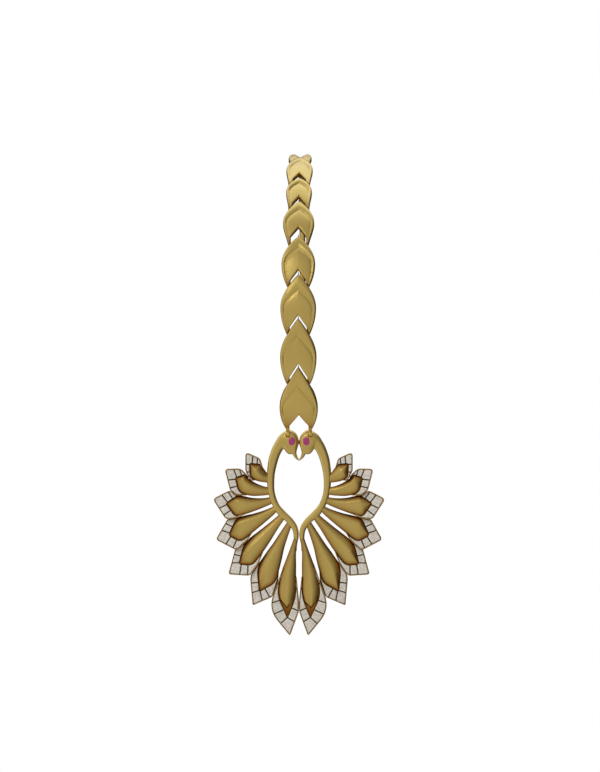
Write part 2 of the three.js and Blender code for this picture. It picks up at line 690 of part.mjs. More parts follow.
// The band of stones of one feather, kept clear of the feathers in front of it.
function stoneBand(side, index) {
  const all = feathersOf(side);
  const { feather, f } = all[index];
  let band = stoneArea(feather, f, STONE_LIFT, STONE_LIFT + STONE_HEIGHT, 0);
  for (const other of inFront(index)) {
    const cover = offsetOutline(plateOutline(all[other].f), STONE_GAP);
    band = band.subtract(solid(prismGeometry(cover, -5, 5)));
  }
  return largestPiece(band);
}

// Everything of one side that is soldered together.
function birdSide(side) {
  const all = feathersOf(side);
  const metal = union([
    withSwingLugs(bird(side), side),
    ...all.map(({ feather, f }) => plate(feather, f)),
    ...all.map(({ feather, f }) => petal(feather, f)),
  ]);
  const seatTop = STONE_LIFT + STONE_HEIGHT + STONE_GAP;
  const seats = all.map(({ feather, f }) => stoneArea(feather, f, SEAT_LIFT, seatTop, STONE_GAP));
  const socket = solid(eyeGeometry(side, EYE_GAP));
  return metal.subtract(union(seats)).subtract(socket);
}

function eyeGeometry(side, grow) {
  const ball = new THREE.SphereGeometry(1, 12, 8);
  ball.scale(EYE.width + grow, EYE.height + grow, EYE.depth + grow);
  return ball.translate(side * EYE.x, EYE.y, EYE.z);
}

// The two sides are joined at the foreheads and behind the innermost feathers.
function pendantFrame() {
  const backLevel = FEATHERS[FEATHERS.length - 1].level - PLATE_THICKNESS;
  const brow = new THREE.BoxGeometry(BROW.width, BROW.height, BROW.depth);
  const backBar = new THREE.BoxGeometry(BACK_BAR.width, BACK_BAR.height, BACK_BAR.depth);
  brow.translate(0, BROW.y, 0);
  backBar.translate(0, BACK_BAR.y, backLevel);
  return union([birdSide(-1), birdSide(1), solid(brow), solid(backBar)]);
}

function pendantPin(side) {
  const reach = SWING_SLOT_HALF + SWING_LUG_WIDTH;
  const x = side * SWING_LEG_X;
  return solid(barX(x - reach, x + reach, -SWING_BELOW_TOP, SWING_DEPTH, PIN_RADIUS));
}

// ---------------------------------------------------------------- assembly

function strapGroup() {
  const group = new THREE.Group();
  group.position.z = -REST_RADIUS;
  LINKS.forEach((_, i) => {
    group.add(namedMesh(`leaf_link_${i + 1}`, leafLink(i), GOLD));
    group.add(namedMesh(`link_pin_${i + 1}`, linkPin(i), GOLD));
  });
  group.add(namedMesh('ear_hook', earHook(), GOLD));
  return group;
}

function pendantGroup() {
  const group = new THREE.Group();
  group.rotation.x = Math.PI / 2;
  group.position.set(0, SWING_Y + SWING_DEPTH, SWING_Z + SWING_BELOW_TOP);
  group.add(namedMesh('pendant_frame', pendantFrame(), GOLD));
  for (const [side, word] of [[-1, 'left'], [1, 'right']]) {
    group.add(namedMesh(`${word}_eye`, solid(eyeGeometry(side, 0)), RUBY));
    group.add(namedMesh(`${word}_pendant_pin`, pendantPin(side), GOLD));
    FEATHERS.forEach((_, i) => {
      group.add(namedMesh(`${word}_stones_${i + 1}`, stoneBand(side, i), WHITE_STONE));
    });
  }
  return group;
}

const climber = new THREE.Group();
climber.add(strapGroup(), pendantGroup());
climber.updateMatrixWorld(true);

export default climber;
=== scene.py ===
"""Looks of the ear climber.

A strap of satin gold leaf links curves over the ear. A pendant of two facing birds
swings from the lowest link, and its feathers end in bands of square white stones.

The code works in millimetres and turns them to metres when a mesh is made. The strap
is drawn around its circle, as (x, degrees, radius), with 0 degrees straight ahead and
positive below that. The pendant is drawn in its own plane, as (outwards from its
middle, up from the top of its heads, forward from its middle plane).
"""

import json
import logging
import math
from dataclasses import dataclass, field
from enum import Enum

import bmesh
import bpy
import numpy as np
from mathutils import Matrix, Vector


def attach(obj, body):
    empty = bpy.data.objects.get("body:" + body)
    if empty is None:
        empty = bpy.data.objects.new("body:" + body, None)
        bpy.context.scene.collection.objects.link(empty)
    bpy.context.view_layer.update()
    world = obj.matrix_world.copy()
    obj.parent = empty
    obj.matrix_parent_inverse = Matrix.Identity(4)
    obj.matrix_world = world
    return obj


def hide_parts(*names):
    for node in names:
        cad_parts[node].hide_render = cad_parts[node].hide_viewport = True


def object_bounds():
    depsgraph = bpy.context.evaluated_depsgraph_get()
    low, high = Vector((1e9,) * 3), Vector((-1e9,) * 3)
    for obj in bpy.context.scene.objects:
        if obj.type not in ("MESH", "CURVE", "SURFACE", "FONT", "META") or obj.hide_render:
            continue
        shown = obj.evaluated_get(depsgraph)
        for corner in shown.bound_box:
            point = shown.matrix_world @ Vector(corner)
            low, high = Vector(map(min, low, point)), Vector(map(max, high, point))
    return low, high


Array = np.ndarray
Part = tuple[Array, list]

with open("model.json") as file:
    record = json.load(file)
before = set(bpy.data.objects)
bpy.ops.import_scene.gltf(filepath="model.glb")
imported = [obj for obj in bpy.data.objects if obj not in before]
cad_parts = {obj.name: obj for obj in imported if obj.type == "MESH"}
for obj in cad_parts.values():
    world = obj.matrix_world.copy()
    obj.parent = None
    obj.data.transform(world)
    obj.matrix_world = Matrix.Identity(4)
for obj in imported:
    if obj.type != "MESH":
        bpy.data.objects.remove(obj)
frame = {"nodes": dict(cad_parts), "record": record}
CAD_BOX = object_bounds()
LOG = logging.getLogger("ear_climber")

MM = 0.001
WELD = 1e-7
SWING_M = frame["record"]["behaviour"]["joints"][0]["pos_m"]
PIVOT = np.array(SWING_M) / MM
CAST_SHARP = 50.0
CUT_SHARP = 20.0


class Body(Enum):
    """The bodies that a piece can ride on."""

    STRAP = "strap"
    PENDANT = "pendant"


class Slot(Enum):
    """The record's material slots."""

    GOLD = "gold"
    WHITE_STONE = "white_stone"
    RUBY = "ruby"


class Side(Enum):
    """The two halves of the pendant, with the sign of their x."""

    LEFT = -1
    RIGHT = 1

    @property
    def word(self) -> str:
        """The side's name in a node's name."""
        return self.name.lower()


# ------------------------------------------------------------------ curves and grids


def run_of(line: Array) -> Array:
    """How far along a line each of its points is, from 0 to its length."""
    return np.concatenate([[0.0], np.cumsum(np.linalg.norm(np.diff(line, axis=0), axis=1))])


def length_of(line: Array) -> float:
    """A line's length."""
    return np.linalg.norm(np.diff(line, axis=0), axis=1).sum()


def full_turn(count: int) -> Array:
    """Angles in radians at equal steps around a circle."""
    return np.linspace(0, 2 * np.pi, count, endpoint=False)


def smooth_path(points: list | Array, count: int) -> Array:
    """A smooth line through points.

    Each stretch is a cubic Hermite curve over the chord length, with the slope at a
    point taken from its two neighbours.

    Args:
        points: the points to pass through, one row each.
        count: how many points to return.

    Returns:
        count points at equal steps of chord length.
    """
    knots = np.asarray(points, float)
    t = run_of(knots)
    slope = np.gradient(knots, t, axis=0)
    at = np.linspace(0, t[-1], count)
    i = np.clip(np.searchsorted(t, at, side="right") - 1, 0, len(t) - 2)
    h = (t[i + 1] - t[i])[:, None]
    s = (at - t[i])[:, None] / h
    return (
        (2 * s**3 - 3 * s**2 + 1) * knots[i]
        + (s**3 - 2 * s**2 + s) * h * slope[i]
        + (3 * s**2 - 2 * s**3) * knots[i + 1]
        + (s**3 - s**2) * h * slope[i + 1]
    )


def fractions_of(line: Array) -> Array:
    """The share of a line's length at each of its points, from 0 to 1."""
    run = run_of(line)
    return run / run[-1]


def along(line: Array, fractions: Array) -> Array:
    """The points at the given shares of a line's length."""
    own = fractions_of(line)
    return np.stack([np.interp(fractions, own, line[:, k]) for k in range(line.shape[1])], -1)


def straight_line(points: list | Array, step: float = 0.05) -> Array:
    """A dense line through points, straight between them, with a point every step in mm."""
    knots = np.asarray(points, float)[:, :2]
    run = run_of(knots)
    at = np.unique(np.concatenate([run, np.arange(0, run[-1], step)]))
    return np.stack([np.interp(at, run, knots[:, k]) for k in range(2)], -1)


def round_corner(line: Array, corner: tuple | Array, reach: float) -> Array:
    """A dense line with one corner rounded.

    The stretch from reach before the corner to reach after it becomes a quadratic
    Bezier curve that has the corner as its middle control point.

    Args:
        line: the points of the line.
        corner: the corner, which is on the line.
        reach: how far the curve reaches from the corner, in mm.

    Returns:
        The new line.
    """
    if reach <= 0:
        return line
    corner = np.asarray(corner, float)[:2]
    run = run_of(line)
    at = run[np.linalg.norm(line - corner, axis=1).argmin()]
    reach = min(reach, at, run[-1] - at)
    start, stop = (np.array([np.interp(place, run, line[:, k]) for k in range(2)])
                   for place in (at - reach, at + reach))
    t = np.linspace(0, 1, 24)[:, None]
    curve = (1 - t) ** 2 * start + 2 * t * (1 - t) * corner + t**2 * stop
    return np.concatenate([line[run < at - reach - 1e-6], curve, line[run > at + reach + 1e-6]])


def share_of(line: Array, point: tuple | Array) -> float:
    """The share of a line's length at its place nearest to a point."""
    nearest = np.linalg.norm(line - np.asarray(point, float)[:2], axis=1).argmin()
    return float(fractions_of(line)[nearest])


def offset_line(line: Array, distance: float) -> Array:
    """A plane line pushed sideways, to the left of its direction when distance is positive."""
    tangent = np.gradient(line, axis=0)
    tangent /= np.maximum(np.linalg.norm(tangent, axis=1, keepdims=True), 1e-9)
    return line + distance * np.stack([-tangent[:, 1], tangent[:, 0]], -1)


def distance_to(points: Array, line: Array) -> Array:
    """The distance from each point to a plane line: the least over its straight pieces."""
    flat = points.reshape(-1, 1, 2)
    start, step = line[:-1], np.diff(line, axis=0)
    size = np.maximum((step**2).sum(-1), 1e-12)
    t = np.clip(((flat - start) * step).sum(-1) / size, 0, 1)
    gap = np.linalg.norm(flat - start - t[..., None] * step, axis=-1)
    return gap.min(axis=1).reshape(points.shape[:-1])


def inside(points: Array, outline: Array) -> Array:
    """Whether each point is inside a closed plane outline, by counting crossings."""
    x, y = points[..., 0, None], points[..., 1, None]
    x0, y0 = outline[:, 0], outline[:, 1]
    x1, y1 = np.roll(x0, -1), np.roll(y0, -1)
    spans = (y0 > y) != (y1 > y)
    rise = np.where(y1 == y0, 1e-12, y1 - y0)
    crosses = spans & (x < (x1 - x0) * (y - y0) / rise + x0)
    return crosses.sum(-1) % 2 == 1


def smoothstep(low: float, high: float, value: Array) -> Array:
    """0 below low, 1 above high, and the cubic 3t^2 - 2t^3 in between."""
    t = np.clip((value - low) / (high - low), 0, 1)
    return t * t * (3 - 2 * t)


def to_edges(count: int) -> Array:
    """count shares from 0 to 1, closer together at both ends: (1 - cos(pi t)) / 2."""
    return (1 - np.cos(np.pi * np.linspace(0, 1, count))) / 2


def grid_faces(rows: int, cols: int, loop_cols: bool = False) -> Array:
    """The quads of a grid of points, with its last column joined to its first if asked."""
    a, b = np.meshgrid(np.arange(rows - 1), np.arange(cols if loop_cols else cols - 1), indexing="ij")
    c = (b + 1) % cols
    quads = [a * cols + b, a * cols + c, (a + 1) * cols + c, (a + 1) * cols + b]
    return np.stack(quads, -1).reshape(-1, 4)


def tube(rings: Array) -> Part:
    """A closed solid from rings of points, with a flat end on the first and last.

    Args:
        rings: stations by ring points by 3.

    Returns:
        Its points and faces.
    """
    rows, cols = rings.shape[:2]
    faces = grid_faces(rows, cols, loop_cols=True).tolist()
    faces.append(list(range(cols))[::-1])
    faces.append([(rows - 1) * cols + i for i in range(cols)])
    return rings.reshape(-1, 3), faces


def loop_tube(rings: Array) -> Part:
    """A closed solid like a torus: rings of points whose last ring joins the first."""
    rows, cols = rings.shape[:2]
    closed = np.concatenate([rings, rings[:1]])
    return closed.reshape(-1, 3), grid_faces(rows + 1, cols, loop_cols=True).tolist()


def slab(top: Array, bottom: Array, wall_rows: Array | None = None) -> Part:
    """A closed solid between two grids of points that have the same shape.

    Args:
        top: rows by columns by 3.
        bottom: the same points on the other side.
        wall_rows: for each step between rows, whether there is a wall at the first
            column. A wall runs along the whole of it when this is None.

    Returns:
        Its points and faces.
    """
    rows, cols = top.shape[:2]
    size = rows * cols
    index = np.arange(size).reshape(rows, cols)
    faces = grid_faces(rows, cols)
    borders = [index[0], index[-1], index[:, -1]]
    quads = [faces, faces[:, ::-1] + size]
    for line in borders:
        quads.append(np.stack([line[:-1], line[1:], line[1:] + size, line[:-1] + size], -1))
    first = index[:, 0]
    wall = np.stack([first[:-1], first[1:], first[1:] + size, first[:-1] + size], -1)
    quads.append(wall if wall_rows is None else wall[wall_rows])
    points = np.concatenate([top.reshape(-1, 3), bottom.reshape(-1, 3)])
    return points, np.concatenate(quads).tolist()


def rounded_box_section(half_a: float, half_b: float, radius: float, steps: int = 4) -> Array:
    """A closed rectangle with round corners in a plane, as points around its middle."""
    turn = np.linspace(0, np.pi / 2, steps)
    corner = np.stack([np.cos(turn), np.sin(turn)], -1) * radius
    middle = np.array([half_a - radius, half_b - radius])
    quarters = []
    for k, sign in enumerate([(1, 1), (-1, 1), (-1, -1), (1, -1)]):
        arc = corner * sign + middle * sign
        quarters.append(arc if k % 2 == 0 else arc[::-1])
    return np.concatenate(quarters)


# ------------------------------------------------------------------ pieces


@dataclass(frozen=True)
class Piece:
    """What a finished mesh needs to take its place in the model.

    Attributes:
        name: the piece's name.
        body: the body that it rides on.
        slot: the record's material slot.
        nodes: the CAD nodes that it stands for.
        sharp: the angle in degrees past which an edge is drawn sharp.
    """

    name: str
    body: Body
    slot: Slot
    nodes: tuple[str, ...]
    sharp: float = 40.0


def frame_piece(name: str, sharp: float = Piece.sharp) -> Piece:
    """A gold piece of the pendant's frame."""
    return Piece(name, Body.PENDANT, Slot.GOLD, ("pendant_frame",), sharp)


def build_mesh(
    name: str,
    parts: list[Part],
    sharp: float,
    tints: list[Array] | None = None,
    painted_shade: list[Array] | None = None,
) -> bpy.types.Mesh:
    """A mesh from closed parts in millimetres, with doubles merged and faces outwards.

    Args:
        name: the mesh's name.
        parts: the points and faces of each part.
        sharp: the angle in degrees past which an edge is drawn sharp.
        tints: a colour for each part, kept in the point attribute "tint".
        painted_shade: for each part, how much painted shade each of its points takes, kept in a point
            attribute of the same name.

    Returns:
        The mesh, in metres.
    """
    counts = [len(points) for points, _ in parts]
    starts = np.concatenate([[0], np.cumsum(counts)])[:-1]
    points = np.concatenate([p for p, _ in parts]) * MM
    faces = [[int(start) + i for i in face] for start, (_, part) in zip(starts, parts) for face in part]
    mesh = bpy.data.meshes.new(name)
    mesh.from_pydata(points.tolist(), [], faces)
    if tints is not None:
        layer = mesh.attributes.new("tint", "FLOAT_VECTOR", "POINT")
        layer.data.foreach_set("vector", np.repeat(np.asarray(tints), counts, axis=0).ravel())
    if painted_shade is not None:
        layer = mesh.attributes.new("painted_shade", "FLOAT", "POINT")
        layer.data.foreach_set("value", np.concatenate(painted_shade).astype(float))
    work = bmesh.new()
    work.from_mesh(mesh)
    bmesh.ops.remove_doubles(work, verts=work.verts, dist=WELD)
    bmesh.ops.dissolve_degenerate(work, edges=work.edges, dist=WELD)
    bmesh.ops.recalc_face_normals(work, faces=work.faces)
    work.to_mesh(mesh)
    work.free()
    mesh.polygons.foreach_set("use_smooth", np.ones(len(mesh.polygons), bool))
    mesh.set_sharp_from_angle(angle=math.radians(sharp))
    return mesh


def add_piece(piece: Piece, mesh: bpy.types.Mesh, material: bpy.types.Material) -> bpy.types.Object:
    """Puts a mesh into the scene as a piece that rides on its body.

    Args:
        piece: its name, body, slot and CAD nodes.
        mesh: its mesh, in place.
        material: its finish.

    Returns:
        The object.
    """
    mesh.materials.clear()
    mesh.materials.append(material)
    obj = bpy.data.objects.new(piece.name, mesh)
    bpy.context.scene.collection.objects.link(obj)
    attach(obj, piece.body.value)
    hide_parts(*piece.nodes)
    LOG.info("%s: %d faces on %s", piece.name, len(mesh.polygons), piece.body.value)
    return obj


def make_piece(
    piece: Piece,
    parts: list[Part],
    material: bpy.types.Material,
    tints: list[Array] | None = None,
    painted_shade: list[Array] | None = None,
) -> bpy.types.Object:
    """Builds closed parts as one piece. Tints and skin are as for build_mesh."""
    return add_piece(piece, build_mesh(piece.name, parts, piece.sharp, tints, painted_shade), material)


def cut_away(mesh: bpy.types.Mesh, cutters: list[Part], sharp: float) -> bpy.types.Mesh:
    """A mesh with closed parts cut out of it.

    Args:
        mesh: the mesh to cut.
        cutters: the parts to take away.
        sharp: the angle in degrees past which an edge is drawn sharp.

    Returns:
        The cut mesh.
    """
    obj = bpy.data.objects.new("cut", mesh)
    tool = bpy.data.objects.new("cutter", build_mesh("cutter", cutters, sharp))
    for each in (obj, tool):
        bpy.context.scene.collection.objects.link(each)
    step = obj.modifiers.new("cut", "BOOLEAN")
    step.object = tool
    step.solver = "EXACT"
    step.use_self = True
    evaluated = obj.evaluated_get(bpy.context.evaluated_depsgraph_get())
    result = bpy.data.meshes.new_from_object(evaluated)
    for each in (obj, tool):
        bpy.data.objects.remove(each)
    result.set_sharp_from_angle(angle=math.radians(sharp))
    return result


# ------------------------------------------------------------------ finishes


def linear(colour: str, alpha: float = 1.0) -> tuple[float, float, float, float]:
    """An sRGB hex colour such as "c8a24a" as linear light, with an alpha."""
    values = (int(colour[i:i + 2], 16) / 255 for i in (0, 2, 4))
    parts = [v / 12.92 if v <= 0.04045 else ((v + 0.055) / 1.055) ** 2.4 for v in values]
    return (*parts, alpha)


def clear_nodes(owner: bpy.types.Material | bpy.types.World) -> bpy.types.NodeTree:
    """Turns an owner's nodes on, and returns its node tree without any nodes."""
    owner.use_nodes = True
    owner.node_tree.nodes.clear()
    return owner.node_tree


def add_node(tree: bpy.types.NodeTree, kind: str, inputs: dict | None = None, **settings) -> bpy.types.Node:
    """Adds a node.

    Args:
        tree: the node tree.
        kind: the node's type.
        inputs: socket names or numbers, each with a value or the output that feeds it.
        **settings: the node's own properties.

    Returns:
        The node.
    """
    node = tree.nodes.new(kind)
    for key, value in settings.items():
        setattr(node, key, value)
    for key, value in (inputs or {}).items():
        if isinstance(value, bpy.types.NodeSocket):
            tree.links.new(value, node.inputs[key])
        else:
            node.inputs[key].default_value = value
    return node


def set_ramp(node: bpy.types.Node, stops: list[tuple[float, tuple]]) -> None:
    """Sets a colour ramp's stops, as positions and linear colours in rising order."""
    ramp = node.color_ramp
    while len(ramp.elements) > 2:
        ramp.elements.remove(ramp.elements[-1])
    for k, (position, colour) in enumerate(stops):
        element = ramp.elements[k] if k < 2 else ramp.elements.new(position)
        element.position = position
        element.color = colour


@dataclass(frozen=True)
class SatinGold:
    """Cast yellow gold, tumbled to a satin: broad soft highlights and fine cloudy grain.

    Attributes:
        colour: the metal's colour straight on.
        mid_shade: painted shade, the brown of the metal at its edges, legs' ends and petal sides.
        deep_shade: painted deep shade, in pockets, under the stones and on faces turned away.
        rough_low: roughness on the most rubbed places.
        rough_high: roughness on the least rubbed places.
        grain_mm: the size of the tumbled grain, drawn coarser than real so that it shows.
        cloud_mm: the size of the soft patches of finish.
    """

    colour: str = "f0d27c"
    mid_shade: str = "9a5c18"
    deep_shade: str = "5c4a1c"
    rough_low: float = 0.32
    rough_high: float = 0.42
    grain_mm: float = 0.35
    cloud_mm: float = 4.0
    bump: float = 0.05

    def make(self, name: str) -> bpy.types.Material:
        """The material.

        Args:
            name: the material's name.

        Returns:
            The material.
        """
        material = bpy.data.materials.new(name)
        tree = clear_nodes(material)
        place = add_node(tree, "ShaderNodeTexCoord").outputs["Object"]
        cloud = add_node(tree, "ShaderNodeTexNoise", {
            "Vector": place, "Scale": 1 / (self.cloud_mm * MM), "Detail": 3.0, "Roughness": 0.5,
        })
        grain = add_node(tree, "ShaderNodeTexNoise", {
            "Vector": place, "Scale": 1 / (self.grain_mm * MM), "Detail": 2.0, "Roughness": 0.6,
        })
        rough = add_node(tree, "ShaderNodeMapRange", {
            "Value": cloud.outputs["Fac"], "From Min": 0.3, "From Max": 0.7,
            "To Min": self.rough_low, "To Max": self.rough_high,
        })
        # The point attribute paints shade: 0 leaves the metal's own colour, 0.5 gives the painted brown shade
        # and 1 the painted deep shade.
        left = add_node(tree, "ShaderNodeAttribute", attribute_name="painted_shade")
        base = add_node(tree, "ShaderNodeValToRGB", {"Fac": left.outputs["Fac"]})
        set_ramp(base, [(0.0, linear(self.colour)), (0.5, linear(self.mid_shade)), (1.0, linear(self.deep_shade))])
        lift = add_node(tree, "ShaderNodeBump", {
            "Height": grain.outputs["Fac"], "Strength": self.bump, "Distance": 0.05 * MM,
        })
        shader = add_node(tree, "ShaderNodeBsdfPrincipled", {
            "Base Color": base.outputs["Color"], "Metallic": 1.0,
            "Roughness": rough.outputs["Result"], "Normal": lift.outputs["Normal"],
        })
        add_node(tree, "ShaderNodeOutputMaterial", {"Surface": shader.outputs["BSDF"]})
        return material


@dataclass(frozen=True)
class CutStone:
    """A polished square-cut white stone: pale, glassy, each a little different in tint.

    Attributes:
        colour: its colour in flat light.
        shade: painted shade of the inner facets that show through the table, darker cells that stand in for
            light through the cut.
        facet_mm: the size of the facets that show through the table.
    """

    colour: str = "faf3e8"
    shade: str = "dcd3c6"
    facet_mm: float = 0.55

    def make(self, name: str) -> bpy.types.Material:
        """The material.

        Args:
            name: the material's name.

        Returns:
            The material.
        """
        material = bpy.data.materials.new(name)
        tree = clear_nodes(material)
        place = add_node(tree, "ShaderNodeTexCoord").outputs["Object"]
        facets = add_node(tree, "ShaderNodeTexVoronoi", {
            "Vector": place, "Scale": 1 / (self.facet_mm * MM), "Randomness": 0.8,
        })
        # Painted shade: Voronoi cells darken away from their middles, like facets seen through the table.
        inner = add_node(tree, "ShaderNodeMapRange", {
            "Value": facets.outputs["Distance"], "From Min": 0.1, "From Max": 0.8,
            "To Min": 0.0, "To Max": 1.0,
        })
        body = add_node(tree, "ShaderNodeMix", {
            "Factor": inner.outputs["Result"], "A": linear(self.colour), "B": linear(self.shade),
        }, data_type="RGBA")
        tint = add_node(tree, "ShaderNodeAttribute", attribute_name="tint")
        tinted = add_node(tree, "ShaderNodeMix", {
            "Factor": 1.0, "A": body.outputs["Result"], "B": tint.outputs["Color"],
        }, data_type="RGBA", blend_type="MULTIPLY")
        shader = add_node(tree, "ShaderNodeBsdfPrincipled", {
            "Base Color": tinted.outputs["Result"], "Roughness": 0.25, "IOR": 1.76,
        })
        add_node(tree, "ShaderNodeOutputMaterial", {"Surface": shader.outputs["BSDF"]})
        return material


@dataclass(frozen=True)
class RubyCabochon:
    """A polished ruby oval: deep pink-red, glossy, with cloudy growth inside.

    Attributes:
        colour: its colour in flat light.
        cloud: the paler pink of its cloudy places.
        cloud_mm: the size of those places.
    """

    colour: str = "a8146a"
    cloud: str = "bc3a88"
    cloud_mm: float = 0.5

    def make(self, name: str) -> bpy.types.Material:
        """The material.

        Args:
            name: the material's name.

        Returns:
            The material.
        """
        material = bpy.data.materials.new(name)
        tree = clear_nodes(material)
        place = add_node(tree, "ShaderNodeTexCoord").outputs["Object"]
        growth = add_node(tree, "ShaderNodeTexNoise", {
            "Vector": place, "Scale": 1 / (self.cloud_mm * MM), "Detail": 3.0,
        })
        body = add_node(tree, "ShaderNodeMix", {
            "Factor": growth.outputs["Fac"], "A": linear(self.colour), "B": linear(self.cloud),
        }, data_type="RGBA")
        shader = add_node(tree, "ShaderNodeBsdfPrincipled", {
            "Base Color": body.outputs["Result"], "Roughness": 0.15, "IOR": 1.77,
        })
        add_node(tree, "ShaderNodeOutputMaterial", {"Surface": shader.outputs["BSDF"]})
        return material


# ------------------------------------------------------------------ strap


@dataclass(frozen=True)
class Circle:
    """The strap's circle in the YZ plane.

    Attributes:
        rest_radius: the radius of the inner face that lies on the ear.
        top: height of that face's top in mm, where the ear holds the strap.
    """

    rest_radius: float = 32.05
    top: float = frame["record"]["mounts"][0]["pos_m"][2] / MM

    def place(self, x: Array, degrees: Array, radius: Array) -> Array:
        """Points of the row frame in mm, for x, degrees around the circle and radius."""
        x, degrees, radius = np.broadcast_arrays(x, degrees, radius)
        turn = np.radians(degrees)
        z = self.top - self.rest_radius - radius * np.sin(turn)
        return np.stack([x, -radius * np.cos(turn), z], -1)


@dataclass(frozen=True)
class Leaf:
    """One leaf link: where it lies on the circle, in degrees, and its widths in mm.

    Attributes:
        tip: where it starts.
        hinge: the pin behind its upper end.
        wide: where it is widest.
        notch: where it splits into two legs.
        end: where its legs stop.
        half: half width at its widest.
        leg: half width at its end.
        barrel: half length of its middle knuckle.
        point: the sharpness of its tip.
        dome: how far the raised middle starts from the tip, in degrees.
        vee: the share of its notch's length over which the notch widens.
        ogee: how much its legs straighten at their ends.
        relief: how strongly its border and middle are modelled.
        valley: depth in mm of a furrow down its middle.
        raised: how far its front stands above the others.
    """

    tip: float
    hinge: float
    wide: float
    notch: float
    end: float
    half: float
    leg: float
    barrel: float
    point: float
    dome: float
    vee: float
    ogee: float = 0.0
    relief: float = 1.0
    valley: float = 0.0
    raised: float = 0.0

    def half_width(self, degrees: Array) -> Array:
        """Half width: half sin(pi/2 t)^point to the widest place, then towards the legs
        a parabola that the ogee straightens: t^2 (1 + 2 ogee (1 - t)).
        """
        t = np.clip((degrees - self.tip) / (self.wide - self.tip), 0, 1)
        rise = self.half * np.sin(np.pi / 2 * t) ** self.point
        t = np.clip((degrees - self.wide) / (self.end - self.wide), 0, 1.2)
        fall = (self.half - self.leg) * t**2 * (1 + 2 * self.ogee * np.clip(1 - t, 0, 1))
        return np.where(degrees <= self.wide, rise, self.half - fall)

    def notch_half(self, degrees: Array) -> Array:
        """Half width of the notch: straight up to half of the leaf's, then level."""
        t = np.clip((degrees - self.notch) / (self.end - self.notch), 0, 1)
        return 0.5 * self.half * np.clip(t / self.vee, 0, 1)

    def middle(self, border: float) -> "Leaf":
        """The leaf that the raised middle's edge follows, drawn in by the border."""
        return Leaf(
            self.tip + self.dome, self.hinge, self.wide, self.notch, self.end,
            self.half - border, self.leg - border / 2, self.barrel, 1.25 * self.point, self.dome,
            self.vee, self.ogee,
        )


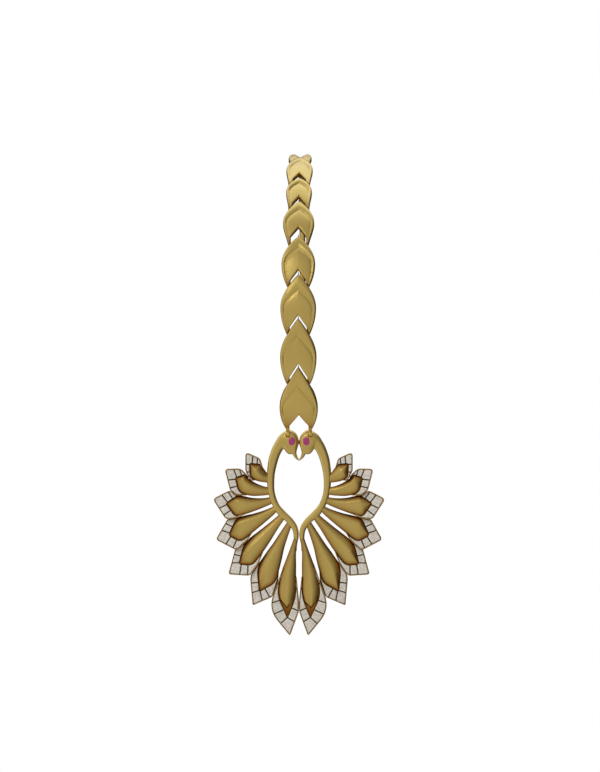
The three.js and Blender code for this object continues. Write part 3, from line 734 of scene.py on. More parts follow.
@dataclass
class Strap:
    """The strap of leaf links with its knuckles.

    Attributes:
        circle: the circle that it lies on.
        leaves: the links, bottom first.
        border: width of a leaf's border at its sides.
        face: radius of a leaf's front.
        back: radius of a leaf's back.
        lip_back: radius of its back where it laps over the link above.
        edge: radius of its rounded edge.
        camber: how far its sides fall away.
        sunk: how far its legs sink behind the link below.
        bow: how far its middle stands above its two ends.
        fade: how much of its relief is left at its legs' ends.
        fade_from, fade_to: where it fades, in degrees past the widest place.
        bead: height of the border's bead.
        groove: depth of the groove inside the border.
        step, step_run: the raised middle's steep rise, and over what distance.
        dome_rise, dome_run: its slow rise, and over what distance.
        valley_half: half width of the furrow.
        sink_from, sink_to: where a leg sinks, in mm inside the link below.
        lap_from, lap_to: where the back thins, in degrees past the lap.
        least: the least thickness.
        edge_shade, shade_run: painted shade at the edge, and how far it reaches.
        legs_shade, legs_deg: painted shade at the legs' ends, where the link below laps over them, and from
            how far up.
        back_shade, point_shade: painted shade on the back and on the cast point.
        gap: clear space between two knuckles.
        web_half, web_foot, web_deg: the web that joins the middle knuckle to the leaf.
        clear_deg: how far tongues stay from a pin.
    """

    circle: Circle = field(default_factory=Circle)
    leaves: tuple[Leaf, ...] = (
        Leaf(20.2, 26.9, 37.3, 39.8, 47.4, 4.0, 2.75, 1.45, 1.0, 7.4, 0.75, 0.0, 1.2),
        Leaf(2.7, 8.5, 16.8, 18.9, 27.5, 3.78, 2.35, 1.3, 0.95, 6.4, 0.64, 0.0, 1.1),
        Leaf(-12.9, -8.4, -0.9, 1.6, 9.1, 3.7, 2.25, 1.1, 0.9, 5.7, 0.6, 0.0, 1.0),
        Leaf(-27.3, -24.4, -16.8, -14.5, -7.8, 3.5, 2.1, 0.8, 0.8, 4.7, 0.62, 0.0, 1.2),
        Leaf(-43.0, -39.9, -33.1, -31.0, -23.8, 3.27, 2.1, 0.8, 0.8, 4.6, 0.52, 0.6, 1.2),
        Leaf(-56.4, -52.2, -48.4, -45.3, -39.4, 2.72, 2.2, 0.85, 0.72, 3.4, 0.6, 1.0, 1.7),
        Leaf(-77.0, -70.5, -63.4, -59.9, -51.7, 2.8, 2.25, 0.9, 0.88, 4.6, 0.5, 1.0, 1.9),
        Leaf(-97.0, -92.0, -78.2, -76.4, -69.9, 2.46, 2.15, 0.9, 0.7, 4.6, 0.5, 1.0, 1.0, 0.7, 0.2),
    )
    border: float = 0.72
    face: float = 33.97
    back: float = 33.15
    lip_back: float = 33.57
    edge: float = 0.3
    camber: float = 0.32
    sunk: float = 0.6
    bow: float = 0.2
    fade: float = 0.3
    fade_from: float = -3.0
    fade_to: float = 8.0
    bead: float = 0.15
    groove: float = 0.12
    step: float = 0.12
    step_run: float = 0.16
    dome_rise: float = 0.14
    dome_run: float = 1.3
    valley_half: float = 0.75
    sink_from: float = -0.25
    sink_to: float = 0.2
    lap_from: float = 0.2
    lap_to: float = 2.2
    least: float = 0.08
    edge_shade: float = 0.3
    shade_run: float = 0.1
    legs_shade: float = 0.25
    legs_deg: float = 5.0
    back_shade: float = 0.5
    point_shade: float = 0.6
    gap: float = 0.25
    web_half: float = 0.6
    web_foot: float = 0.35
    web_deg: float = 0.6
    clear_deg: float = 0.55
    point_deg: float = 0.9
    point_half: float = 0.16
    knuckle: float = 0.6
    bore: float = 0.3
    fork_half: float = 1.95
    tongue_low: float = 32.45
    tongue_high: float = 33.27
    tongue_deg: float = 3.3
    barrel_x: float = 2.36
    barrel_half: float = 0.42
    barrel_radius: float = 0.74
    stem_half: float = 0.38
    stem_low: float = 33.45
    stem_high: float = 33.95
    stem_stop: float = 49.3
    rows_above: int = 54
    rows_below: int = 28
    cols: int = 26

    def flat(self, x: Array, degrees: Array) -> Array:
        """Points of the strap unrolled to a plane, as x and arc length in mm."""
        x, degrees = np.broadcast_arrays(x, degrees)
        return np.stack([x, self.face * np.radians(degrees)], -1)

    def depth_inside(self, leaf: Leaf, x: Array, degrees: Array) -> Array:
        """How far a point is inside a leaf's sides in mm, negative outside."""
        at = leaf.tip + (leaf.end + 4 - leaf.tip) * np.linspace(0, 1, 90) ** 1.6
        line = self.flat(leaf.half_width(at), at)
        gap = distance_to(self.flat(x, degrees), line)
        within = (x < leaf.half_width(degrees)) & (degrees > leaf.tip)
        return np.where(within, gap, -gap)

    def front(self, index: int, x: Array, degrees: Array) -> Array:
        """Radius of a leaf's front.

        It starts from the face, less the camber times (x / half)^2. Its edge is a
        quarter circle over the distance to the nearest side. Between the side and the
        raised middle the border is a parabola that ends in a groove. The middle rises
        by 1 - exp(-distance), fast at its edge and slowly after that. All of this
        fades towards the legs. Along the leaf the front bows out by 1/2 - u^2, where u
        goes from -1 to 1. A leg sinks where the link below laps over it.

        Args:
            index: the link's number from the bottom, from 0.
            x: distance from the middle in mm, not negative.
            degrees: angles around the circle.

        Returns:
            The radius at each point.
        """
        leaf = self.leaves[index]
        side = np.maximum(self.depth_inside(leaf, x, degrees), 0)
        inner = self.depth_inside(leaf.middle(self.border), x, degrees)
        at = np.linspace(leaf.notch, leaf.end, 30)
        notch = distance_to(self.flat(x, degrees), self.flat(leaf.notch_half(at), at))
        near = np.minimum(side, np.where(degrees > leaf.notch - 2, notch, self.edge))
        short = self.edge - np.minimum(near, self.edge)
        drop = self.edge - np.sqrt(self.edge**2 - short**2)
        share = side / np.maximum(side - np.minimum(inner, 0), 1e-6)
        border = self.bead * (1 - (2 * share - 1) ** 2) - self.groove * share**3
        deep = np.maximum(inner, 0)
        middle = (
            -self.groove
            + self.step * (1 - np.exp(-deep / self.step_run))
            + self.dome_rise * (1 - np.exp(-deep / self.dome_run))
        )
        faded = smoothstep(leaf.wide + self.fade_from, leaf.wide + self.fade_to, degrees)
        left = 1 - (1 - self.fade) * faded
        relief = leaf.relief * left * np.where(inner > 0, middle, border)
        furrow = leaf.valley * np.exp(-((x / self.valley_half) ** 2))
        u = (2 * degrees - leaf.tip - leaf.end) / (leaf.end - leaf.tip)
        base = self.face + leaf.raised + self.bow * (0.5 - np.clip(u, -1, 1) ** 2)
        radius = base - self.camber * (x / leaf.half) ** 2 - drop + relief - furrow
        if index > 0:
            under = self.depth_inside(self.leaves[index - 1], x, degrees)
            radius = radius - self.sunk * smoothstep(self.sink_from, self.sink_to, under)
        return radius

    def point_part(self, leaf: Leaf) -> Part:
        """The thin cast point that stands up from a leaf's tip, a tapered round bar."""
        section = rounded_box_section(1.0, 1.0, 0.6, 4)
        degrees = np.linspace(leaf.tip - self.point_deg, leaf.tip + 1.2, 9)[:, None]
        half = np.linspace(0.05, self.point_half, 9)[:, None]
        radius = self.face - 0.3 + 0.8 * half * section[:, 1]
        return tube(self.circle.place(half * section[:, 0], degrees, radius))

    def leaf_parts(self, index: int) -> tuple[list[Part], list[Array]]:
        """The two mirrored halves of a leaf, which share the points of their middle.

        A half is a grid: rows run from the tip past the notch to the legs' ends, and
        columns from the middle or the notch to the side. Painted shade is strongest
        at the edge, as exp(-distance), and at the ends of the legs.

        Args:
            index: the link's number from the bottom, from 0.

        Returns:
            The parts, and for each point how much painted shade it takes.
        """
        leaf = self.leaves[index]
        above = leaf.tip + (leaf.notch - leaf.tip) * np.linspace(0, 1, self.rows_above) ** 1.7
        below = np.linspace(leaf.notch, leaf.end, self.rows_below)[1:]
        degrees = np.concatenate([above, below])[:, None]
        start = np.where(degrees > leaf.notch, leaf.notch_half(degrees), 0)
        x = start + (leaf.half_width(degrees) - start) * to_edges(self.cols)
        degrees = np.broadcast_to(degrees, x.shape)
        front = self.front(index, x, degrees)
        last = len(self.leaves) - 1
        lap = self.leaves[index + 1].end if index < last else leaf.tip
        past = smoothstep(lap + self.lap_from, lap + self.lap_to, degrees)
        back = self.back + (self.lip_back - self.back) * (1 - past)
        back = np.minimum(back, front - self.least)
        wall = np.arange(len(degrees) - 1) >= self.rows_above - 1
        # Painted shade: darkest at the leaf's edge, rising at the legs' ends under the link below, and even
        # over the back.
        edge = np.exp(-np.maximum(self.depth_inside(leaf, x, degrees), 0) / self.shade_run)
        legs = smoothstep(leaf.end - self.legs_deg, leaf.end, degrees)
        painted_shade = self.edge_shade * edge + self.legs_shade * legs
        painted_shade = np.concatenate([painted_shade.ravel(), np.full(painted_shade.size, self.back_shade)])
        parts, shade_maps = [], []
        for sign in (1, -1):
            top = self.circle.place(sign * x, degrees, front)
            bottom = self.circle.place(sign * x, degrees, back)
            parts.append(slab(top, bottom, wall))
            shade_maps.append(painted_shade)
        if index < last - 1:
            parts.append(self.point_part(leaf))
            # The cast point is painted in shade.
            shade_maps.append(np.full(len(parts[-1][0]), self.point_shade))
        return parts, shade_maps

    def ring_bar(self, x0: float, x1: float, y: float, z: float, radius: float) -> Part:
        """A short tube along x with a bore: a chamfered rectangle turned about its axis.

        Args:
            x0: where it starts.
            x1: where it stops.
            y: its axis.
            z: its axis.
            radius: its outer radius.

        Returns:
            Its points and faces.
        """
        section = rounded_box_section((radius - self.bore) / 2, (x1 - x0) / 2, 0.08, 3)
        turn = full_turn(36)[:, None]
        reach = (radius + self.bore) / 2 + section[:, 0]
        x = np.broadcast_to((x0 + x1) / 2 + section[:, 1], (len(turn), len(section)))
        return loop_tube(np.stack([x, y + reach * np.cos(turn), z + reach * np.sin(turn)], -1))

    def knuckle_bar(self, x0: float, x1: float, degrees: float) -> Part:
        """A knuckle tube behind the strap, from x0 to x1."""
        at = self.circle.place(0.0, degrees, self.circle.rest_radius + self.knuckle)
        return self.ring_bar(x0, x1, at[1], at[2], self.knuckle)

    def bent_bar(self, x0: float, x1: float, low: float, high: float, start: float, stop: float) -> Part:
        """A bar with round edges that follows the circle.

        Args:
            x0: one side.
            x1: the other side.
            low: its inner radius.
            high: its outer radius.
            start: the angle where it starts.
            stop: the angle where it stops.

        Returns:
            Its points and faces.
        """
        section = rounded_box_section((x1 - x0) / 2, (high - low) / 2, 0.09, 3)
        degrees = np.linspace(start, stop, 10)[:, None]
        x = (x0 + x1) / 2 + section[:, 0]
        return tube(self.circle.place(x, degrees, (low + high) / 2 + section[:, 1]))

    def hinge_parts(self, index: int) -> list[Part]:
        """The knuckles of a link: two with tongues at its lower end and one at its upper."""
        leaf = self.leaves[index]
        parts = [self.knuckle_bar(-leaf.barrel, leaf.barrel, leaf.hinge)]
        web = min(leaf.barrel, self.web_half)
        knuckle_at = self.circle.rest_radius + self.knuckle
        parts.append(self.bent_bar(
            -web, web, knuckle_at + self.web_foot, self.lip_back + 0.1,
            leaf.hinge - self.web_deg, leaf.hinge + self.web_deg,
        ))
        if index == 0:
            return parts + self.swing_parts()
        lower = self.leaves[index - 1]
        inner = lower.barrel + self.gap
        for sign in (-1, 1):
            x0, x1 = sorted((sign * inner, sign * leaf.leg))
            parts.append(self.knuckle_bar(x0, x1, lower.hinge))
            t0, t1 = sorted((sign * min(0.5 * leaf.half, leaf.leg - 0.5), sign * leaf.leg))
            parts.append(self.bent_bar(
                t0, t1, self.tongue_low, self.tongue_high,
                lower.hinge - self.tongue_deg, lower.hinge - self.clear_deg,
            ))
        return parts

    def swing_parts(self) -> list[Part]:
        """The lowest link's stems and barrels, which carry the pendant."""
        end = self.leaves[0].end
        parts = []
        for sign in (-1, 1):
            middle = sign * self.barrel_x
            parts.append(self.ring_bar(
                middle - self.barrel_half, middle + self.barrel_half, PIVOT[1], PIVOT[2], self.barrel_radius,
            ))
            parts.append(self.bent_bar(
                middle - self.stem_half, middle + self.stem_half, self.stem_low, self.stem_high,
                end - 1.4, self.stem_stop,
            ))
        return parts

    def build(self, gold: bpy.types.Material) -> None:
        """Builds the links with their knuckles, and dresses the pins."""
        for index in range(len(self.leaves)):
            node = f"leaf_link_{index + 1}"
            leaf = Piece(f"{node}_leaf", Body.STRAP, Slot.GOLD, (node,))
            parts, shade_maps = self.leaf_parts(index)
            make_piece(leaf, parts, gold, painted_shade=shade_maps)
            knuckles = Piece(f"{node}_knuckles", Body.STRAP, Slot.GOLD, (node,))
            make_piece(knuckles, self.hinge_parts(index), gold)
            dress(f"link_pin_{index + 1}", gold)


def dress(node: str, material: bpy.types.Material) -> None:
    """Gives a CAD node that stays in view its finish."""
    obj = frame["nodes"][node]
    obj.data.materials.clear()
    obj.data.materials.append(material)
    LOG.info("%s: finished as %s", node, material.name)


@dataclass
class EarHook:
    """The plain wire that goes on around the circle and down behind the ear.

    Attributes:
        strap: the strap that it hangs on.
        wire: the wire's radius.
        ball: the radius of the ball at its end.
        start: where the wire leaves the fork, in degrees.
        stop: where it ends.
        bar_stop: where the fork's cross bar ends, in degrees.
        fork_low, fork_high: inner and outer radius of the fork.
    """

    strap: Strap
    wire: float = 0.65
    ball: float = 1.0
    start: float = -97.6
    stop: float = -176.0
    bar_stop: float = -99.6
    fork_low: float = 32.15
    fork_high: float = 33.15

    def wire_part(self) -> Part:
        """The wire and ball: a circle carried along the strap's circle.

        Its radius is the wire's, and near the end sqrt(ball^2 - distance^2) where that
        is more, so the ball is part of the same surface.
        """
        circle = self.strap.circle
        middle = circle.rest_radius + self.wire
        arc = middle * np.radians(self.start - self.stop)
        past = self.ball * 0.999
        ends = arc + past * np.sin(np.pi / 2 * np.linspace(-1, 1, 25))
        run = np.concatenate([np.linspace(0, arc - past, 70)[:-1], ends])
        ball = np.sqrt(np.maximum(self.ball**2 - (run - arc) ** 2, 0))
        radius = np.where(run < arc, np.maximum(self.wire, ball), ball)
        degrees = self.start - np.degrees(run / middle)
        turn = full_turn(28)
        ring = radius[:, None]
        return tube(circle.place(ring * np.cos(turn), degrees[:, None], middle + ring * np.sin(turn)))

    def build(self, gold: bpy.types.Material) -> None:
        """Builds the wire, its ball and the fork around the top link's knuckle."""
        last = self.strap.leaves[-1]
        inner = last.barrel + self.strap.gap
        half = self.strap.fork_half
        parts = [
            self.wire_part(),
            self.strap.bent_bar(-half, half, self.fork_low, self.fork_high, self.bar_stop, self.start - 0.4),
        ]
        for sign in (-1, 1):
            x0, x1 = sorted((sign * inner, sign * half))
            parts.append(self.strap.bent_bar(
                x0, x1, self.fork_low, self.fork_high, self.bar_stop, last.hinge - 0.8,
            ))
            parts.append(self.strap.knuckle_bar(x0, x1, last.hinge))
        piece = Piece("ear_hook_wire", Body.STRAP, Slot.GOLD, ("ear_hook",))
        make_piece(piece, parts, gold)


# ------------------------------------------------------------------ pendant


@dataclass(frozen=True)
class PendantPlane:
    """The pendant's own frame.

    Attributes:
        middle: y of its middle plane in mm.
        top: z of the top of its heads in mm.
    """

    middle: float = PIVOT[1] + 0.1
    top: float = PIVOT[2] + 0.85

    def place(self, side: Side, points: Array) -> Array:
        """Points of the row frame in mm, for points of one side of the pendant."""
        x, y, z = points[..., 0], points[..., 1], points[..., 2]
        return np.stack([side.value * x, self.middle - z, self.top + y], -1)


@dataclass
class Bird:
    """One bird: a neck of half-round section that swells into a head and ends in a beak.

    Attributes:
        plane: the pendant's frame.
        outer: the outline over the neck's outside, the crown and the brow to the beak.
        inner: the outline up the neck's inside, over the throat and chin to the beak.
        depth: half thickness at each of those stations.
        stations, ring: how many rings there are, and points on each.
        squareness: the power in a ring's shape.
        slot_half, slot_radius: the slot around the barrel.
        fan_half, fan_radius: the slot around the stem.
        fan_middle, fan_deg: the fan's middle angle, and how far it goes on each side.
        fan_rest: its reach elsewhere, which is inside the round part.
        lug_radius, lug_width: the lugs beside the slot.
    """

    plane: PendantPlane
    outer: tuple = (
        (1.2, -25.4), (1.17, -24.0), (1.12, -22.9), (1.35, -21.1), (2.5, -19.5), (4.5, -17.67),
        (5.8, -15.4), (6.45, -13.1), (6.75, -10.5), (6.68, -8.2), (6.4, -6.15), (6.03, -4.85),
        (5.5, -3.45), (4.85, -2.25), (4.05, -1.05), (3.05, -0.3), (1.95, 0.03), (1.05, -0.3),
        (0.48, -0.95), (0.12, -1.75), (0.05, -2.45), (0.1, -3.1), (0.38, -3.95), (0.54, -4.7),
        (0.42, -5.4), (0.04, -6.12),
    )
    inner: tuple = (
        (0.5, -25.4), (0.4, -24.0), (0.05, -22.2), (0.33, -20.33), (1.28, -18.75), (2.9, -17.1),
        (4.25, -15.5), (5.05, -13.3), (5.2, -11.05), (5.06, -9.1), (4.74, -7.6), (4.3, -6.05),
        (3.85, -4.93), (3.45, -4.22), (3.15, -3.98), (2.95, -4.3), (2.57, -4.78), (2.12, -5.08),
        (1.75, -5.1), (1.5, -5.05), (1.38, -5.08), (1.28, -5.2), (1.2, -5.4), (0.98, -5.72),
        (0.6, -6.12), (0.0, -6.48),
    )
    depth: tuple = (
        0.3, 0.42, 0.5, 0.52, 0.55, 0.58, 0.6, 0.62, 0.64, 0.66, 0.68, 0.7,
        0.72, 0.74, 0.8, 0.94, 1.02, 1.05, 1.03, 0.98, 0.9, 0.78, 0.62, 0.5,
        0.38, 0.26,
    )
    stations: int = 150
    ring: int = 36
    slot_half: float = 0.5
    slot_radius: float = 0.82
    fan_half: float = 0.46
    fan_radius: float = 1.9
    fan_deg: float = 96.0
    fan_middle: float = 127.0
    fan_rest: float = 0.3
    squareness: float = 0.9
    lug_radius: float = 0.4
    lug_width: float = 0.3

    def body(self, side: Side) -> Part:
        """The bird's surface.

        Each station's ring is a superellipse between the outer and inner outline:
        cos and sin to the power of the squareness, with their signs kept, times half
        their distance and the half thickness.
        """
        stack = np.concatenate([self.outer, self.inner, np.array(self.depth)[:, None]], axis=1)
        path = smooth_path(stack, self.stations)
        turn = full_turn(self.ring)
        across = np.sign(np.cos(turn)) * np.abs(np.cos(turn)) ** self.squareness
        forward = np.sign(np.sin(turn)) * np.abs(np.sin(turn)) ** self.squareness
        outer, inner, depth = path[:, None, 0:2], path[:, None, 2:4], path[:, 4:5]
        flat = (outer + inner) / 2 + (outer - inner) / 2 * across[:, None]
        rings = np.concatenate([flat, (depth * forward)[..., None]], -1)
        return tube(self.plane.place(side, rings))

    def slot_cutters(self, strap: Strap, side: Side) -> list[Part]:
        """The slot in the crown: a round part for the barrel and a fan for the stem.

        Both are flat outlines around the pivot, carried across the slot's width. The
        fan reaches past the barrel over the angles that the stem swings through. At
        all other angles it stays inside the round part.
        """
        turn = full_turn(96)
        swing = np.abs(np.degrees(turn) - self.fan_middle)
        fan = np.where(swing < self.fan_deg, self.fan_radius, self.fan_rest)
        parts = []
        for half, reach in ((self.slot_half, self.slot_radius), (self.fan_half, fan)):
            x = (side.value * strap.barrel_x + half * np.array([-1.0, 1.0]))[:, None]
            y = PIVOT[1] + reach * np.cos(turn)
            z = PIVOT[2] + reach * np.sin(turn)
            parts.append(tube(np.stack(np.broadcast_arrays(x, y, z), -1)))
        return parts

    def lugs(self, strap: Strap, side: Side) -> list[Part]:
        """The two lugs beside the slot, which hold the pin."""
        parts = []
        for end in (-1, 1):
            x = side.value * strap.barrel_x
            near, far = x + end * self.slot_half, x + end * (self.slot_half + self.lug_width)
            near, far = sorted((near, far))
            parts.append(strap.ring_bar(near, far, PIVOT[1], PIVOT[2], self.lug_radius))
        return parts

    def build(self, strap: Strap, gold: bpy.types.Material) -> None:
        """Builds both birds with their slots and lugs."""
        for side in Side:
            piece = frame_piece(f"{side.word}_bird", CAST_SHARP)
            mesh = build_mesh(piece.name, [self.body(side)], piece.sharp)
            mesh = cut_away(mesh, self.slot_cutters(strap, side), piece.sharp)
            add_piece(piece, mesh, gold)
            lugs = frame_piece(f"{side.word}_swing_lugs")
            make_piece(lugs, self.lugs(strap, side), gold)
            dress(f"{side.word}_pendant_pin", gold)


@dataclass(frozen=True)
class Feather:
    """One feather: a plate with a petal on it and a band of stones around its end.

    Attributes:
        upper: the petal's upper side, from the neck to its corner.
        tip: the petal's tip.
        lower: the petal's lower side, from the neck to its corner.
        rounds: how far the petal's upper corner, tip and lower corner are rounded.
        plate: the plate's end, from where it leaves the petal above to below, with how
            far each corner is rounded. Its tip is the third corner.
        crest: where the petal's crest ends, as a share of the way to its lower side.
        level: height of the plate's front.
        roll: how far it leans forward for each mm towards its lower side.
        hollow: whether the petal's end drops steeply into a pocket.
    """

    upper: tuple
    tip: tuple[float, float]
    lower: tuple
    rounds: tuple[float, float, float]
    plate: tuple
    crest: float
    level: float
    roll: float
    hollow: bool = False

    @property
    def root(self) -> Array:
        """The middle of its root."""
        return (np.asarray(self.upper[0]) + np.asarray(self.lower[0])) / 2

    @property
    def down(self) -> Array:
        """The direction across it towards its lower side."""
        line = np.asarray(self.plate[2][:2]) - self.root
        line = line / np.linalg.norm(line)
        return np.array([line[1], -line[0]])

    def sides(self) -> tuple[Array, Array]:
        """The petal's upper and lower side as smooth dense lines."""
        return smooth_path(self.upper, 160), smooth_path(self.lower, 160)

    def petal_line(self) -> Array:
        """The petal's outline from its upper root around its tip to its lower root."""
        upper, lower = self.sides()
        end = straight_line([upper[-1], self.tip, lower[-1]])
        line = np.concatenate([upper[:-1], end, lower[-2::-1]])
        for corner, reach in zip((upper[-1], self.tip, lower[-1]), self.rounds):
            line = round_corner(line, corner, reach)
        return line

    def end_line(self) -> Array:
        """The plate's end outline from where it leaves the petal above to below."""
        line = straight_line([corner[:2] for corner in self.plate])
        for corner in self.plate[1:-1]:
            line = round_corner(line, corner, corner[2])
        return line

    def petal_end(self) -> Array:
        """The part of the petal's outline that the plate goes around."""
        line = self.petal_line()
        start, stop = (share_of(line, self.plate[k]) for k in (0, -1))
        return along(line, np.linspace(start, stop, 400))

    def outline(self) -> Array:
        """The whole feather's outline from its upper root to its lower root."""
        upper, lower = self.sides()
        start = np.linalg.norm(upper - np.asarray(self.plate[0][:2]), axis=1).argmin()
        stop = np.linalg.norm(lower - np.asarray(self.plate[-1][:2]), axis=1).argmin()
        return np.concatenate([upper[:start], self.end_line(), lower[:stop][::-1]])


FEATHERS: tuple[Feather, ...] = (
    Feather(
        upper=((6.1, -9.4), (6.6, -9.12), (7.2, -8.38), (8.0, -7.23)),
        tip=(10.38, -7.0),
        lower=((6.0, -11.1), (7.4, -10.97), (8.8, -10.7), (10.25, -9.95)),
        rounds=(0.35, 0.4, 0.8),
        plate=(
            (7.6, -7.85, 0), (8.2, -5.95, 0.6), (11.27, -4.57, 1.0), (11.27, -8.6, 0.4), (10.15, -10.65, 0.3),
            (9.2, -10.6, 0),
        ),
        crest=0.5, level=0.1, roll=0.13,
    ),
    Feather(
        upper=((5.9, -12.0), (6.9, -11.93), (8.55, -11.4), (10.0, -10.6), (10.9, -9.9), (11.4, -9.35)),
        tip=(13.4, -10.05),
        lower=((5.8, -13.57), (8.0, -13.8), (10.0, -13.82), (11.6, -13.45), (12.7, -12.85)),
        rounds=(0.3, 0.4, 0.8),
        plate=(
            (10.6, -9.7, 0), (12.3, -8.08, 0.7), (15.65, -8.15, 0.9), (14.5, -12.6, 0.4), (13.2, -13.7, 0.3),
            (11.0, -13.75, 0),
        ),
        crest=0.28, level=0.0, roll=0.13,
    ),
    Feather(
        upper=((5.3, -13.93), (7.0, -14.25), (8.6, -14.33), (10.2, -14.2), (11.5, -13.9), (12.75, -13.65)),
        tip=(15.38, -15.4),
        lower=((5.2, -15.2), (6.3, -15.78), (8.0, -16.5), (10.0, -17.25), (12.0, -17.9), (13.4, -18.15)),
        rounds=(0.4, 0.5, 0.8),
        plate=(
            (11.6, -13.9, 0), (14.5, -12.6, 0.9), (18.15, -14.48, 0.9), (15.35, -18.8, 0.8),
            (13.1, -18.5, 0.3), (11.0, -17.6, 0),
        ),
        crest=0.28, level=0.0, roll=0.13,
    ),
    Feather(
        upper=((4.5, -15.55), (5.9, -16.3), (7.55, -16.95), (9.6, -17.57), (11.35, -17.95), (13.1, -18.45)),
        tip=(14.8, -22.1),
        lower=((4.1, -16.62), (5.45, -17.93), (7.35, -19.58), (9.25, -21.15), (10.8, -22.4), (12.35, -23.5)),
        rounds=(0.8, 0.7, 1.1),
        plate=(
            (10.6, -17.8, 0), (14.95, -18.5, 0.7), (17.5, -23.0, 0.7), (13.05, -25.3, 0.7),
            (10.7, -23.05, 0.3), (9.8, -21.6, 0),
        ),
        crest=0.26, level=0.0, roll=0.13,
    ),
    Feather(
        upper=((3.4, -17.07), (4.7, -18.22), (6.5, -19.7), (8.5, -21.27), (10.2, -22.57), (11.65, -24.05)),
        tip=(12.62, -28.2),
        lower=((2.7, -18.2), (4.4, -20.7), (6.0, -23.3), (7.4, -25.4), (8.5, -26.8), (9.8, -28.4)),
        rounds=(1.4, 0.6, 1.0),
        plate=(
            (10.4, -22.8, 0), (13.4, -24.85, 0.7), (14.85, -30.32, 0.6), (10.25, -30.6, 0.7),
            (8.5, -28.1, 0.3), (7.5, -25.6, 0),
        ),
        crest=0.38, level=0.0, roll=0.12,
    ),
    Feather(
        upper=((2.25, -18.95), (3.65, -21.05), (5.6, -24.0), (7.0, -25.9), (8.05, -27.5), (8.8, -29.2)),
        tip=(8.35, -33.95),
        lower=(
            (1.45, -19.85), (2.3, -22.25), (3.12, -24.9), (3.65, -27.3), (4.2, -29.5),
            (4.7, -31.2), (5.25, -32.25),
        ),
        rounds=(1.4, 0.35, 0.9),
        plate=(
            (7.4, -26.4, 0), (10.35, -30.2, 1.6), (9.75, -36.85, 0.4), (5.25, -34.9, 0.5), (4.3, -31.8, 0.3),
            (4.15, -29.4, 0),
        ),
        crest=0.38, level=-0.1, roll=0.05,
    ),
    Feather(
        upper=((1.15, -22.85), (1.65, -24.25), (2.75, -27.2), (3.72, -29.8), (4.2, -32.2), (4.45, -34.9)),
        tip=(2.4, -39.4),
        lower=((0.3, -23.3), (0.6, -25.5), (0.6, -28.5), (0.62, -31.0), (0.6, -33.2), (0.85, -35.6)),
        rounds=(1.6, 0.0, 1.3),
        plate=(
            (3.4, -28.9, 0), (6.5, -37.6, 3.2), (1.88, -43.2, 0.5), (0.02, -38.1, 0.4), (0.02, -35.6, 0.6),
            (0.5, -30.9, 0),
        ),
        crest=0.5, level=0.55, roll=0.0,
        hollow=True,
    ),
)


